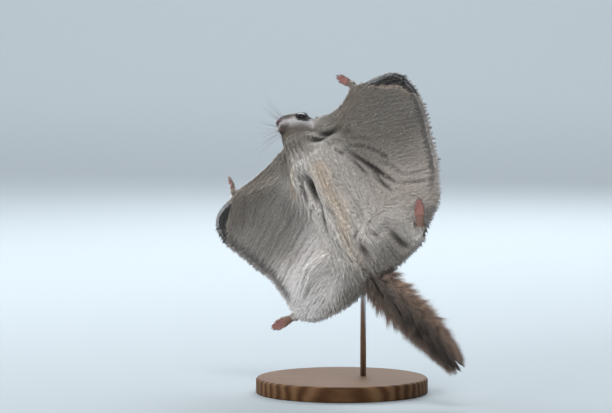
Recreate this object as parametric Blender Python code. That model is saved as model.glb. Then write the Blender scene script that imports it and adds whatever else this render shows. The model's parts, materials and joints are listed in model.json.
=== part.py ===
"""A Siberian flying squirrel in mid glide, life size, held over a round base by one bent steel rod.

The animal is modelled in its own axes, in millimetres: x runs forward to the neck, y to its left and z up
through its back, with the origin in the middle of the trunk. An empty then banks it over the base.
The head has axes of its own: x to the nose, y to its left ear and z to the crown.
"""
import math

import bmesh
import bpy
import numpy as np
from mathutils import Matrix

MM = 0.001
GAP = 0.3  # what touching pieces keep between them

# How the animal is banked over its base, as someone in front of the stand sees it: right, up, toward them.
VIEW_TILT = math.radians(5.0)  # how far that person looks down
FORWARD_SEEN = (-0.378, 0.792, -0.475)
LEFT_SEEN = (0.649, 0.595, 0.475)
TRUNK_ABOVE_BASE = 146.0
TRUNK_RIGHT_OF_BASE = -14.0
TRUNK_FRONT_OF_BASE = 10.0

# Trunk: places along its axis with half width and half depth, from the chest to the root of the tail.
TRUNK = (
    (54.0, 6.0, -1.0, 15.0, 13.0),
    (42.0, 5.0, -1.5, 20.0, 15.5),
    (22.0, 5.5, -2.0, 22.0, 16.0),
    (-5.0, 7.0, -2.0, 22.0, 15.5),
    (-32.0, 9.0, -1.5, 23.0, 15.5),
    (-55.0, 10.8, -0.5, 21.5, 14.5),
    (-70.0, 12.0, 0.5, 14.0, 10.5),
    (-79.0, 13.2, 1.5, 8.0, 7.0),
)
TRUNK_SIDES, TRUNK_RINGS = 16, 13

# Neck: from the trunk's front end up into the back of the skull.
NECK = (
    (48.0, 6.0, -1.5, 16.0, 14.0),
    (58.0, 6.8, -2.2, 16.4, 15.2),
    (66.0, 7.6, -2.6, 15.6, 15.4),
    (71.5, 8.6, -2.8, 14.6, 15.0),
)

# Head: centre in the body's axes, and the directions of the nose and of its left side.
HEAD_CENTRE = (74.1, 11.2, 0.0)
NOSE_WAY = (0.340, -0.433, -0.835)
HEAD_LEFT = (0.029, 0.892, -0.451)
# Skull and muzzle: distance toward the nose, height of the axis, half width, half depth.
SKULL = (
    (-17.0, -1.8, 3.0, 2.8),
    (-14.0, -1.6, 6.4, 5.6),
    (-8.5, -1.0, 9.2, 7.8),
    (-4.5, -0.5, 10.6, 9.1),
    (0.0, 0.0, 11.5, 10.2),
    (5.0, 0.2, 11.0, 10.2),
    (9.5, 0.3, 9.4, 9.3),
    (13.0, 0.4, 7.8, 8.1),
    (16.5, 0.3, 6.2, 6.6),
    (18.8, 0.1, 4.4, 4.7),
    (20.0, 0.0, 2.6, 2.8),
)
SKULL_SIDES = 16
EYE_RADIUS = 5.3
EYE_CENTRE = (1.2, 6.9, 1.9)
EYE_WAY = (0.26, 0.88, 0.40)
LID_THICK, LID_OPEN = 0.85, (4.95, 4.35)
WHISKER_PAD = ((14.4, 3.3, -3.2), (5.4, 3.9, 3.9))
LOWER_JAW = ((11.6, 0.0, -7.6), (7.0, 5.4, 3.4))
NOSE_PAD = ((19.2, 0.0, 0.6), (2.1, 3.2, 2.6))
NOSTRIL = ((20.9, 1.5, 0.5), (1.3, 0.6, 0.7))
CHEEK = ((1.0, 6.6, -4.6), (9.5, 5.4, 5.2))

# Ears: a cup each, folded back along the neck.
EAR_ROOT = (-11.5, 8.2, 1.0)
EAR_WAY = (-0.86, 0.04, -0.45)
EAR_ACROSS = (-0.35, 0.35, 0.87)
EAR_LENGTH, EAR_WIDTH, EAR_CUP, EAR_THICK = 14.0, 9.0, 3.0, 1.1

# Limbs: joints in the body's axes with half width and half depth.
ARM = {
    "left": ((40.0, 14.0, 0.0, 8.0, 8.0), (44.0, 33.0, -0.5, 6.6, 6.4), (49.0, 50.0, -1.0, 5.2, 5.2),
             (57.0, 64.0, -0.5, 4.3, 4.2), (66.0, 77.0, 0.0, 3.3, 2.9)),
    "right": ((41.0, -4.0, 0.0, 8.0, 8.0), (46.0, -24.0, -0.5, 6.6, 6.4), (53.0, -44.0, -1.0, 5.2, 5.2),
              (60.0, -61.0, -0.5, 4.3, 4.2), (68.0, -78.0, 0.0, 3.3, 2.9)),
}
LEG = {
    "left": ((-58.0, 22.0, -1.0, 12.0, 10.0), (-54.0, 40.0, -3.0, 10.5, 9.5), (-55.0, 56.0, -4.0, 8.6, 8.4),
             (-70.0, 66.0, -3.0, 6.4, 6.0), (-86.0, 71.5, -1.5, 4.2, 4.0)),
    "right": ((-58.0, 0.0, -1.0, 12.0, 10.0), (-49.0, -18.0, -2.5, 10.5, 9.5), (-44.0, -36.0, -3.5, 8.6, 8.4),
              (-53.0, -54.0, -2.5, 6.4, 6.0), (-63.5, -69.5, -1.0, 4.2, 4.0)),
}
LIMB_SIDES, LIMB_RINGS = 10, 5
JOINT_AT = {"arm": 0.52, "leg": 0.50}

# Paws: the way the digits point and the way the palm or sole faces.
HAND_WAY = {"left": (0.795, -0.382, -0.471), "right": (0.981, 0.192, 0.029)}
PALM_FACES = {"left": (-0.45, 0.30, -0.84), "right": (0.10, -0.60, -0.79)}
FOOT_WAY = {"left": (0.818, 0.548, -0.175), "right": (0.238, -0.971, -0.028)}
SOLE_FACES = {"left": (-0.45, 0.42, -0.79), "right": (-0.45, -0.10, -0.89)}
HAND = {"length": 18.0, "palm": 9.0, "width": 6.2, "thick": 3.6, "digit": 1.15, "claw": 2.0, "spread": 9.0,
        "reach": (0.80, 0.97, 1.0, 0.86)}
FOOT = {"length": 30.5, "palm": 19.5, "width": 7.8, "thick": 5.0, "digit": 1.3, "claw": 2.2, "spread": 6.0,
        "reach": (0.80, 0.96, 1.0, 0.98, 0.86)}

# Flight membrane: its free edges in the body's axes, from the cheek round the wingtip to the tail.
LEADING_EDGE = {
    "left": ((72.0, 20.0, 3.5), (69.0, 32.0, 3.5), (64.5, 46.0, 2.0), (63.0, 60.0, 1.0), (65.5, 71.0, 0.0),
             (68.5, 78.0, 0.0)),
    "right": ((66.0, -8.0, -3.0), (67.0, -24.0, -1.5), (68.0, -43.0, 0.0), (68.0, -58.0, 0.0),
              (69.5, -72.0, 0.0), (71.0, -79.0, 0.0)),
}
WINGTIP_EDGE = {
    "left": ((66.0, 77.0, 0.0), (63.5, 86.0, 0.5), (59.0, 101.0, 1.5), (52.5, 114.5, 3.0), (45.0, 120.5, 4.5)),
    "right": ((68.0, -78.0, 0.0), (69.0, -88.0, 1.0), (69.5, -98.0, 2.5), (68.0, -107.0, 4.5),
              (62.0, -113.5, 6.5)),
}
SIDE_EDGE = {
    "left": ((45.0, 120.5, 4.5), (26.0, 123.5, 8.0), (5.5, 119.0, 12.0), (-12.0, 111.0, 16.0),
             (-26.0, 106.5, 18.0), (-46.5, 96.5, 19.0), (-62.0, 89.0, 17.0), (-71.0, 82.0, 11.0),
             (-79.0, 76.0, 4.0), (-86.0, 71.5, -1.0)),
    "right": ((62.0, -113.5, 6.5), (52.0, -116.0, 11.0), (38.0, -113.0, 15.0), (29.5, -109.5, 17.0),
              (14.0, -104.0, 20.0), (-9.0, -93.5, 20.0), (-24.0, -89.0, 17.0), (-36.5, -83.0, 11.0),
              (-48.0, -78.0, 5.0), (-63.5, -69.5, -1.0)),
}
TRAILING_EDGE = {
    "left": ((-89.5, 73.0, -1.0), (-91.5, 58.0, 0.0), (-91.0, 42.0, 1.0), (-88.0, 28.0, 1.5), (-84.0, 13.5, 2.0)),
    "right": ((-68.0, -70.0, -1.0), (-80.0, -55.0, 0.0), (-84.5, -41.0, 0.5), (-88.0, -23.0, 1.0),
              (-87.0, -4.0, 1.5), (-84.0, 13.5, 2.0)),
}
MEMBRANE_THICK = 2.2  # skin with its short coat on both faces
EDGE_THICK = 1.2
FLANK_ROOT, TAIL_ROOT = (7.0, 0.26), (4.0, 0.16)  # thickness where it leaves the trunk, and how far that fades
BILLOW = 7.0

# Tail: its axis, the bony core and the brush of hair round it.
TAIL = ((-78.0, 13.0, 1.4), (-102.0, 18.0, 5.0), (-128.0, 23.0, 13.0), (-152.0, 28.0, 20.0), (-172.0, 31.0, 24.0))
TAIL_CORE = (7.2, 9.0, 9.5, 8.0, 3.5)  # half width of the core along the axis
TAIL_CORE_FLAT = 0.72  # its depth as a share of its width
BRUSH_WIDE = (14.0, 23.0, 23.5, 19.0, 11.0)  # half width of the whole brush
BRUSH_FLAT = 0.66
LOCK_RINGS, LOCKS_ROUND, LOCK_LENGTH, LOCK_WIDTH, LOCK_THICK = 8, 7, 32.0, 12.5, 2.8
LOCK_SHAPE = ((0.0, 0.70, 1.0), (0.40, 1.0, 1.0), (0.74, 0.62, 0.75))  # share of its length, width, thickness
TIP_LOCKS = 5
STEEPEST = 0.66  # how far a lock may rise out of the core, as a share of its length

# Stand: a wooden disc and a bent steel rod that stops in the middle of the back.
BASE_RADIUS, BASE_HEIGHT, BASE_ROUND = 72.0, 13.0, 2.5
ROD_RADIUS, ROD_BEND, ROD_SOCKET = 2.5, 17.0, 7.0
ROD_BODY_X = -8.0  # where along the trunk the rod goes in
ROD_OUT = 30.0

COLOURS = {
    "fur": (0.40, 0.37, 0.33, 1.0),
    "tail": (0.19, 0.15, 0.12, 1.0),
    "skin": (0.60, 0.36, 0.32, 1.0),
    "eye": (0.01, 0.01, 0.012, 1.0),
    "wood": (0.10, 0.055, 0.03, 1.0),
    "steel": (0.55, 0.56, 0.58, 1.0),
}
ROUGHNESS = {"fur": 0.9, "tail": 0.9, "skin": 0.6, "eye": 0.08, "wood": 0.45, "steel": 0.3}


def unit(vector):
    vector = np.asarray(vector, float)
    return vector / np.linalg.norm(vector)


def along(points, where):
    """A smooth curve through the points, read at shares of its length."""
    points = np.asarray(points, float)
    steps = np.linalg.norm(np.diff(points[:, :3], axis=0), axis=1)
    knots = np.concatenate(([0.0], np.cumsum(steps))) / steps.sum()
    slopes = np.gradient(points, knots, axis=0)
    where = np.atleast_1d(np.asarray(where, float))
    left = np.clip(np.searchsorted(knots, where, side="right") - 1, 0, len(knots) - 2)
    span = (knots[left + 1] - knots[left])[:, None]
    u = (where - knots[left])[:, None] / span
    near = (1 + 2 * u) * (1 - u) ** 2 * points[left] + u * (1 - u) ** 2 * span * slopes[left]
    far = u * u * (3 - 2 * u) * points[left + 1] + u * u * (u - 1) * span * slopes[left + 1]
    return near + far


def length_of(points):
    return np.linalg.norm(np.diff(along(points, np.linspace(0, 1, 60))[:, :3], axis=0), axis=1).sum()


def material(name):
    """One plain finish, made once."""
    found = bpy.data.materials.get(name)
    if found:
        return found
    made = bpy.data.materials.new(name)
    made.use_nodes = True
    shader = made.node_tree.nodes["Principled BSDF"]
    shader.inputs["Base Color"].default_value = COLOURS[name]
    shader.inputs["Roughness"].default_value = ROUGHNESS[name]
    shader.inputs["Metallic"].default_value = 1.0 if name == "steel" else 0.0
    return made


def solid(name, shape, finish, parent=None):
    """An object from points in millimetres and faces, under its parent's axes."""
    points, faces = shape
    mesh = bpy.data.meshes.new(name)
    mesh.from_pydata((np.asarray(points) * MM).tolist(), [], [list(map(int, face)) for face in faces])
    mesh.validate()
    mesh.materials.append(material(finish))
    made = bpy.data.objects.new(name, mesh)
    bpy.context.scene.collection.objects.link(made)
    made.parent = parent
    mesh.shade_smooth()
    mesh.set_sharp_from_angle(angle=math.radians(50))
    return made


def ring_faces(rings, sides):
    """Triangles of the wall between rings of points, and a fan over each end."""
    faces = []
    for ring in range(rings - 1):
        for side in range(sides):
            a = ring * sides + side
            b = ring * sides + (side + 1) % sides
            faces += [(a, b, b + sides), (a, b + sides, a + sides)]
    start, end = rings * sides, rings * sides + 1
    last = (rings - 1) * sides
    for side in range(sides):
        after = (side + 1) % sides
        faces += [(start, after, side), (end, last + side, last + after)]
    return faces


def tube(stations, up, sides, grow=0.0, round_start=0.0, round_end=0.0, path=None):
    """A limb or trunk: rings of given half width and half depth round a path, with flat or rounded ends."""
    stations = np.array(stations, float)
    stations[:, 3:5] += grow
    if path is None:
        path = np.gradient(stations[:, :3], axis=0)
        path /= np.linalg.norm(path, axis=1)[:, None]
    stations[0, :3] -= path[0] * grow
    stations[-1, :3] += path[-1] * grow
    rows, ways = list(stations), list(path)
    for share, reach in ((0.62, 0.80), (0.93, 0.40)):
        if round_end:
            tip = stations[-1].copy()
            tip[:3] += path[-1] * round_end * share
            tip[3:5] *= reach
            rows.append(tip)
            ways.append(path[-1])
        if round_start:
            tip = stations[0].copy()
            tip[:3] -= path[0] * round_start * share
            tip[3:5] *= reach
            rows.insert(0, tip)
            ways.insert(0, path[0])
    rows, ways = np.array(rows), np.array(ways)
    aside = np.cross(np.asarray(up, float), ways)
    aside /= np.linalg.norm(aside, axis=1)[:, None]
    over = np.cross(ways, aside)
    turn = np.linspace(0, 2 * math.pi, sides, endpoint=False)
    points = (rows[:, None, :3]
              + aside[:, None] * rows[:, None, 3:4] * np.cos(turn)[None, :, None]
              + over[:, None] * rows[:, None, 4:5] * np.sin(turn)[None, :, None])
    ends = [rows[0, :3] - ways[0] * round_start * 0.07, rows[-1, :3] + ways[-1] * round_end * 0.07]
    return np.vstack([points.reshape(-1, 3), ends]), ring_faces(len(rows), sides)


def ball(centre, radii, grow=0.0, around=10, rows=6):
    """An ellipsoid with its poles on the x axis."""
    lift = np.linspace(0, math.pi, rows + 2)[1:-1]
    turn = np.linspace(0, 2 * math.pi, around, endpoint=False)
    x = -np.cos(lift)[:, None] * np.ones(around)
    y = np.sin(lift)[:, None] * np.cos(turn)
    z = np.sin(lift)[:, None] * np.sin(turn)
    size = np.asarray(radii, float) + grow
    points = np.stack([x, y, z], axis=-1).reshape(-1, 3)
    points = np.vstack([points, [[-1, 0, 0], [1, 0, 0]]]) * size + np.asarray(centre, float)
    return points, ring_faces(rows, around)


def vane(surface, thick):
    """A thin sheet: a grid of points given a thickness, split into the same triangles on both faces."""
    rows, columns = surface.shape[:2]
    normal = np.cross(np.gradient(surface, axis=0), np.gradient(surface, axis=1))
    normal /= np.maximum(np.linalg.norm(normal, axis=2), 1e-9)[..., None]
    half = np.broadcast_to(thick, (rows, columns))[..., None] / 2
    points = np.concatenate([(surface + normal * half).reshape(-1, 3), (surface - normal * half).reshape(-1, 3)])
    count = rows * columns
    faces = []
    for row in range(rows - 1):
        for column in range(columns - 1):
            a = row * columns + column
            b, c, d = a + 1, a + columns + 1, a + columns
            faces += [(a, d, c), (a, c, b), (a + count, c + count, d + count), (a + count, b + count, c + count)]
    edge = ([(0, c) for c in range(columns - 1)] + [(r, columns - 1) for r in range(rows - 1)]
            + [(rows - 1, c) for c in range(columns - 1, 0, -1)] + [(r, 0) for r in range(rows - 1, 0, -1)])
    loop = [r * columns + c for r, c in edge]
    for a, b in zip(loop, loop[1:] + loop[:1]):
        faces += [(a, b, b + count), (a, b + count, a + count)]
    return points, faces


def keep_largest(mesh):
    """Leave only the closed surface that holds the most, pointing outward."""
    work = bmesh.new()
    work.from_mesh(mesh)
    bmesh.ops.triangulate(work, faces=work.faces)
    bmesh.ops.dissolve_degenerate(work, edges=work.edges, dist=1e-6)
    bmesh.ops.triangulate(work, faces=work.faces)
    left, groups = set(work.faces), []
    while left:
        stack = [left.pop()]
        group = []
        while stack:
            face = stack.pop()
            group.append(face)
            for edge in face.edges:
                for other in edge.link_faces:
                    if other in left:
                        left.remove(other)
                        stack.append(other)
        groups.append(group)

    def volume(group):
        return sum(f.verts[0].co.dot(f.verts[1].co.cross(f.verts[2].co)) for f in group) / 6

    best = max(groups, key=volume)
    drop = [face for group in groups if group is not best for face in group]
    bmesh.ops.delete(work, geom=drop, context="FACES")
    loose = [vert for vert in work.verts if not vert.link_faces]
    bmesh.ops.delete(work, geom=loose, context="VERTS")
    work.to_mesh(mesh)
    work.free()


def combine(target, operation, shapes, solver="EXACT"):
    """Join the shapes to an object, or cut them from it, and keep the largest body."""
    group = bpy.data.collections.new(target.name + "_tools")
    bpy.context.scene.collection.children.link(group)
    for count, shape in enumerate(shapes):
        tool = solid(f"{target.name}_tool_{count}", shape, "fur", target.parent)
        bpy.context.scene.collection.objects.unlink(tool)
        group.objects.link(tool)
    step = target.modifiers.new("shape", "BOOLEAN")
    step.operation = operation
    step.operand_type = "COLLECTION"
    step.collection = group
    step.solver = solver
    bpy.context.view_layer.update()
    result = bpy.data.meshes.new_from_object(target.evaluated_get(bpy.context.evaluated_depsgraph_get()))
    target.modifiers.clear()
    finish = target.data.materials[0]
    keep_largest(result)
    result.materials.clear()
    result.materials.append(finish)
    target.data = result
    result.shade_smooth()
    result.set_sharp_from_angle(angle=math.radians(50))
    for tool in list(group.objects):
        bpy.data.objects.remove(tool)
    bpy.data.collections.remove(group)


def axes(origin, forward, left_hint):
    """A matrix from a pose: x forward, y as near as can be to the hint, z to match."""
    x = unit(forward)
    z = unit(np.cross(x, np.asarray(left_hint, float)))
    y = np.cross(z, x)
    frame = np.eye(4)
    frame[:3, 0], frame[:3, 1], frame[:3, 2], frame[:3, 3] = x, y, z, origin
    return frame


def placed(shape, frame):
    points, faces = shape
    return points @ frame[:3, :3].T + frame[:3, 3], faces


def mixed(front, rear, inner, outer):
    """A surface spanning four edges that meet at its corners: the edges' blends less the corners'."""
    s = np.linspace(0, 1, len(inner))[:, None, None]
    t = np.linspace(0, 1, len(front))[None, :, None]
    across = (1 - s) * front[None] + s * rear[None]
    down = (1 - t) * inner[:, None] + t * outer[:, None]
    corners = ((1 - s) * (1 - t) * front[0] + (1 - s) * t * front[-1] + s * (1 - t) * rear[0] + s * t * rear[-1])
    return across + down - corners


def trunk_shape(grow=0.0):
    stations = along(TRUNK, np.linspace(0, 1, TRUNK_RINGS))
    return tube(stations, (0, 0, 1), TRUNK_SIDES, grow)


def limb_length(points, start, end, rings, **ends):
    """A length of a limb between two shares of its line, its ends square to the line."""
    where = np.linspace(start, end, rings)
    step = 0.01
    path = along(points, np.minimum(where + step, 1))[:, :3] - along(points, np.maximum(where - step, 0))[:, :3]
    path /= np.linalg.norm(path, axis=1)[:, None]
    return tube(along(points, where), (0, 0, 1), LIMB_SIDES, path=path, **ends)


def limb_halves(points, joint, grow):
    return [limb_length(points, 0, joint, LIMB_RINGS, grow=grow),
            limb_length(points, joint, 1, LIMB_RINGS, grow=grow, round_end=2.0)]


def neck_shape(grow=0.0):
    return tube(along(NECK, np.linspace(0, 1, 6)), (0, 0, 1), TRUNK_SIDES, grow, round_end=4.0)


def skull_shape(grow=0.0):
    x, lift, wide, deep = np.array(SKULL).T
    stations = np.stack([x, np.zeros_like(x), lift, wide, deep], axis=1)
    stations = along(stations, np.linspace(0, 1, 15))
    return tube(stations, (0, 0, 1), SKULL_SIDES, grow, round_start=0.6, round_end=0.6)


def head_frame():
    return axes(HEAD_CENTRE, NOSE_WAY, HEAD_LEFT)


def lid_opening():
    """The slit between the lids, as an oval bar that runs out through the ball of the eye."""
    frame = axes(EYE_CENTRE, EYE_WAY, (1, 0, 0))
    bar = [(0.3 * EYE_RADIUS, 0, 0, LID_OPEN[0], LID_OPEN[1]), (2 * EYE_RADIUS, 0, 0, LID_OPEN[0], LID_OPEN[1])]
    return placed(tube(bar, (0, 0, 1), 12), frame)


def on_both_sides(shape):
    """The shape and its mirror image across the head's middle."""
    points, faces = shape
    return [shape, (points * (1, -1, 1), [tuple(reversed(face)) for face in faces])]


def make_head(parent):
    frame = head_frame()
    head = solid("head", placed(skull_shape(), frame), "fur", parent)
    added = [ball(*LOWER_JAW), ball(*NOSE_PAD)]
    lids = ball(EYE_CENTRE, (EYE_RADIUS + LID_THICK,) * 3, 0.0, 12, 8)
    for shape in (ball(*WHISKER_PAD), ball(*CHEEK), lids):
        added += on_both_sides(shape)
    combine(head, "UNION", [placed(shape, frame) for shape in added])
    socket = ball(EYE_CENTRE, (EYE_RADIUS,) * 3, GAP, 12, 8)
    removed = on_both_sides(socket) + on_both_sides(lid_opening()) + on_both_sides(ball(*NOSTRIL, around=6, rows=3))
    combine(head, "DIFFERENCE", [placed(shape, frame) for shape in removed])
    for count, shape in enumerate(on_both_sides(ball(EYE_CENTRE, (EYE_RADIUS,) * 3, 0.0, 12, 8))):
        solid(("eye_left", "eye_right")[count], placed(shape, frame), "eye", parent)


def ear_shape(grow=0.0):
    """A leaf-shaped cup: broad in its lower half, hollow along its middle, with its rim turned up."""
    rows = np.linspace(0, 1, 8)[:, None]
    across = np.linspace(-1, 1, 9)[None]
    half = EAR_WIDTH / 2 * np.sin(math.pi * (0.16 + 0.80 * rows)) ** 0.75
    x = EAR_LENGTH * (rows - 0.12) + 0 * across
    y = half * across
    z = EAR_CUP * (across ** 2 - 0.45) * np.sin(math.pi * (0.25 + 0.6 * rows)) * (half / EAR_WIDTH * 2)
    return vane(np.stack([x, y, z], axis=-1), EAR_THICK + 2 * grow)


def both_ears(grow=0.0):
    return on_both_sides(placed(ear_shape(grow), axes(EAR_ROOT, EAR_WAY, EAR_ACROSS)))


def make_ears(parent):
    frame = head_frame()
    grown = [placed(skull_shape(GAP), frame), neck_shape(GAP)]
    for count, shape in enumerate(both_ears()):
        ear = solid(("ear_left", "ear_right")[count], placed(shape, frame), "fur", parent)
        combine(ear, "DIFFERENCE", grown)


def make_neck(parent):
    neck = solid("neck", neck_shape(), "fur", parent)
    frame = head_frame()
    lids = ball(EYE_CENTRE, (EYE_RADIUS + 2 * LID_THICK,) * 3, GAP)
    grown = [skull_shape(GAP), ball(*LOWER_JAW, GAP)]
    for shape in (ball(*CHEEK, GAP), ball(*WHISKER_PAD, GAP), lids):
        grown += on_both_sides(shape)
    combine(neck, "DIFFERENCE", [trunk_shape(GAP)] + [placed(shape, frame) for shape in grown])


def paw_pieces(size, side):
    """Palm or sole along x, digits in a fan with a claw on each, in the paw's own axes."""
    half_wide, half_thick, palm = size["width"] / 2, size["thick"] / 2, size["palm"]
    sole = [(0.0, 0, 0, half_wide * 0.62, half_thick * 0.98), (palm * 0.45, 0, 0, half_wide * 0.78, half_thick),
            (palm * 0.85, 0, 0, half_wide, half_thick * 0.86), (palm, 0, 0, half_wide * 0.9, half_thick * 0.7)]
    pieces = [tube(along(sole, np.linspace(0, 1, 5)), (0, 0, 1), 8, round_end=1.6)]
    count = len(size["reach"])
    for digit, reach in enumerate(size["reach"]):
        share = digit / (count - 1) - 0.5
        if side == "right":
            share = -share
        angle = math.radians(size["spread"]) * share
        thick = size["digit"]
        long = size["length"] * reach - palm - size["claw"]
        root = np.array((palm * 0.80, share * (size["width"] - 1.6 * thick), 0.0))
        way = np.array((math.cos(angle), math.sin(angle), 0.0))
        bend = np.array((0.0, 0.0, -1.0))
        reach_out = long + palm * 0.20
        line = [root, root + way * reach_out * 0.5 + bend * 0.1, root + way * reach_out + bend * 0.9]
        finger = np.array([(*line[0], thick, thick), (*line[1], thick * 0.95, thick * 0.9),
                           (*line[2], thick * 0.9, thick * 0.95)])
        pieces.append(tube(finger, (0, 0, 1), 5, round_end=thick * 0.8))
        tip = line[2] + way * thick * 0.1
        claw = np.array([(*tip, thick * 0.50, thick * 0.62),
                         (*(tip + way * size["claw"] * 0.75 + bend * 0.2), thick * 0.32, thick * 0.45),
                         (*(tip + way * size["claw"] * 1.35 + bend * 1.3), 0.16, 0.2)])
        pieces.append(tube(claw, (0, 0, 1), 4))
    return pieces


def paw_frame(limb, way, faces):
    """The paw's axes at the limb's far end: x along the digits, z out of the back of the paw."""
    end = np.array(limb[-1][:3], float) + unit(way) * 0.6
    x = unit(way)
    z = -np.asarray(faces, float)
    z = unit(z - x * (z @ x))
    return axes(end, x, np.cross(z, x))


def paw_parts(size, limb, way, faces, side):
    frame = paw_frame(limb, way, faces)
    return [placed(piece, frame) for piece in paw_pieces(size, side)]


def make_limb(side, points, names, joint, size, way, faces, parent):
    """Upper part, lower part and paw of one limb, each meeting the next end to end."""
    share = GAP / length_of(points)
    upper = solid(names[0], limb_length(points, 0, joint - share / 2, LIMB_RINGS), "fur", parent)
    combine(upper, "DIFFERENCE", [trunk_shape(GAP)])
    solid(names[1], limb_length(points, joint + share / 2, 1, LIMB_RINGS, round_end=2.0), "fur", parent)
    pieces = paw_parts(size, points, way, faces, side)
    paw = solid(names[2], pieces[0], "skin", parent)
    combine(paw, "UNION", pieces[1:])
    combine(paw, "DIFFERENCE", limb_halves(points, joint, GAP))


def billowed(surface, rise):
    """Raise the middle of a membrane toward the back, as air under it does."""
    s = np.linspace(0, 1, surface.shape[0])[:, None]
    t = np.linspace(0, 1, surface.shape[1])[None]
    raised = surface.copy()
    raised[..., 2] += rise * np.sin(math.pi * s) ** 0.8 * np.sin(math.pi * t) ** 0.8
    return raised


def membrane_thickness(surface, thin_front, thin_rear, root=FLANK_ROOT):
    """Thick where it leaves the trunk, thin at the free edges."""
    rows, columns = surface.shape[:2]
    s = np.linspace(0, 1, rows)[:, None]
    t = np.linspace(0, 1, columns)[None]
    thick = MEMBRANE_THICK + (root[0] - MEMBRANE_THICK) * np.exp(-((t / root[1]) ** 2)) + 0 * s
    edge = np.ones_like(thick)
    fade = 0.12
    for wanted, distance in ((True, 1 - t + 0 * s), (thin_front, s + 0 * t), (thin_rear, 1 - s + 0 * t)):
        if wanted:
            edge = np.minimum(edge, distance / fade)
    return EDGE_THICK + (thick - EDGE_THICK) * np.clip(edge, 0, 1)


def arm_line(side, where):
    return along([p[:3] for p in ARM[side]], where)


def leg_line(side, where):
    return along([p[:3] for p in LEG[side]], where)


def trunk_line(start, end, count):
    """A stretch of the trunk's axis, a little toward the back, where the membranes are rooted."""
    line = along([p[:3] for p in TRUNK], np.linspace(start, end, count))
    return line + (0.0, 0.0, 3.0)


def front_membrane(side, rows=6, columns=11):
    """From the cheek to the wrist, between the leading edge and the arm."""
    t = np.linspace(0, 1, columns)
    front = along(LEADING_EDGE[side], t)
    rear = along([p[:3] for p in ARM[side]], t)
    s = np.linspace(0, 1, rows)[:, None, None]
    return (1 - s) * front[None] + s * rear[None]


def main_membrane(side, rows=16, columns=12):
    """From the arm to the leg, out to the wingtip and the long free edge."""
    to_tip = [p[:3] for p in ARM[side]] + list(WINGTIP_EDGE[side][1:])
    front = along(to_tip, np.linspace(0, 1, columns))
    rear = leg_line(side, np.linspace(0, 1, columns))
    outer = along(SIDE_EDGE[side], np.linspace(0, 1, rows))
    inner = np.linspace(0, 1, rows)[:, None] * (rear[0] - front[0]) + front[0]
    inner[:, 2] += 3.0 * np.sin(math.pi * np.linspace(0, 1, rows))
    return billowed(mixed(front, rear, inner, outer), BILLOW)


def rear_membrane(side, rows=6, columns=11):
    """From the leg to the trailing edge, between the ankle and the root of the tail."""
    t = np.linspace(0, 1, columns)
    front = leg_line(side, t)
    rear = along(TRAILING_EDGE[side], 1 - t)
    s = np.linspace(0, 1, rows)[:, None, None]
    return (1 - s) * front[None] + s * rear[None]


def rear_sheet(side, grow=0.0):
    surface = rear_membrane(side)
    return vane(surface, membrane_thickness(surface, False, True, TAIL_ROOT) + 2 * grow)


def make_membranes(side, parent):
    grown_arm = limb_halves(ARM[side], JOINT_AT["arm"], GAP)
    grown_leg = limb_halves(LEG[side], JOINT_AT["leg"], GAP)
    hand = tube_hull(side, "hand")
    foot = tube_hull(side, "foot")
    frame = head_frame()
    head = [placed(skull_shape(GAP), frame), neck_shape(GAP)]
    head += [placed(s, frame) for s in on_both_sides(ball(*CHEEK, GAP)) + both_ears(GAP)]
    body = trunk_shape(GAP)

    surface = front_membrane(side)
    piece = solid(f"front_membrane_{side}", vane(surface, membrane_thickness(surface, True, False)), "fur", parent)
    combine(piece, "DIFFERENCE", [body, hand] + grown_arm + head)

    surface = main_membrane(side)
    piece = solid(f"main_membrane_{side}", vane(surface, membrane_thickness(surface, False, False)), "fur", parent)
    combine(piece, "DIFFERENCE", [body, hand, foot] + grown_arm + grown_leg)

    piece = solid(f"rear_membrane_{side}", rear_sheet(side), "fur", parent)
    combine(piece, "DIFFERENCE", [body, foot] + grown_leg)


def tube_hull(side, which):
    """A plain sleeve round a whole paw, for cutting what lies against it."""
    size, limb, way, faces = ((HAND, ARM, HAND_WAY, PALM_FACES) if which == "hand"
                              else (FOOT, LEG, FOOT_WAY, SOLE_FACES))
    frame = paw_frame(limb[side], way[side], faces[side])
    half_wide, half_thick = size["width"] / 2 + GAP, size["thick"] / 2 + GAP
    stations = [(-0.5, 0, 0, half_wide * 0.75, half_thick), (size["palm"] * 0.6, 0, 0, half_wide, half_thick),
                (size["length"], 0, 0, half_wide * 1.1, half_thick)]
    return placed(tube(along(stations, np.linspace(0, 1, 4)), (0, 0, 1), 12), frame)


def make_tail(parent):
    """A slim core under flat, tapered locks of hair that lie back along it and overlap."""
    rng = np.random.default_rng(7)
    where = np.linspace(0, 1, 9)
    line = along(TAIL, where)
    wide = np.interp(where, np.linspace(0, 1, len(TAIL_CORE)), TAIL_CORE)
    core = np.column_stack([line, wide, wide * TAIL_CORE_FLAT])
    tail = solid("tail", tube(core, (0, 0, 1), 12, round_end=3.0), "tail", parent)
    locks = []
    for ring in range(LOCK_RINGS):
        for step in range(LOCKS_ROUND):
            share = (ring + 0.5 * (step % 2)) / LOCK_RINGS * 0.93 + 0.035
            angle = 2 * math.pi * (step + 0.5 * (ring % 2)) / LOCKS_ROUND + rng.uniform(-0.12, 0.12)
            locks.append(tail_lock(share, angle, rng))
    for step in range(TIP_LOCKS):
        locks.append(tail_lock(0.985, 2 * math.pi * step / TIP_LOCKS, rng, 0.45))
    combine(tail, "UNION", locks, "MANIFOLD")
    combine(tail, "DIFFERENCE", [trunk_shape(GAP)] + [rear_sheet(side, GAP) for side in ("left", "right")])


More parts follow.
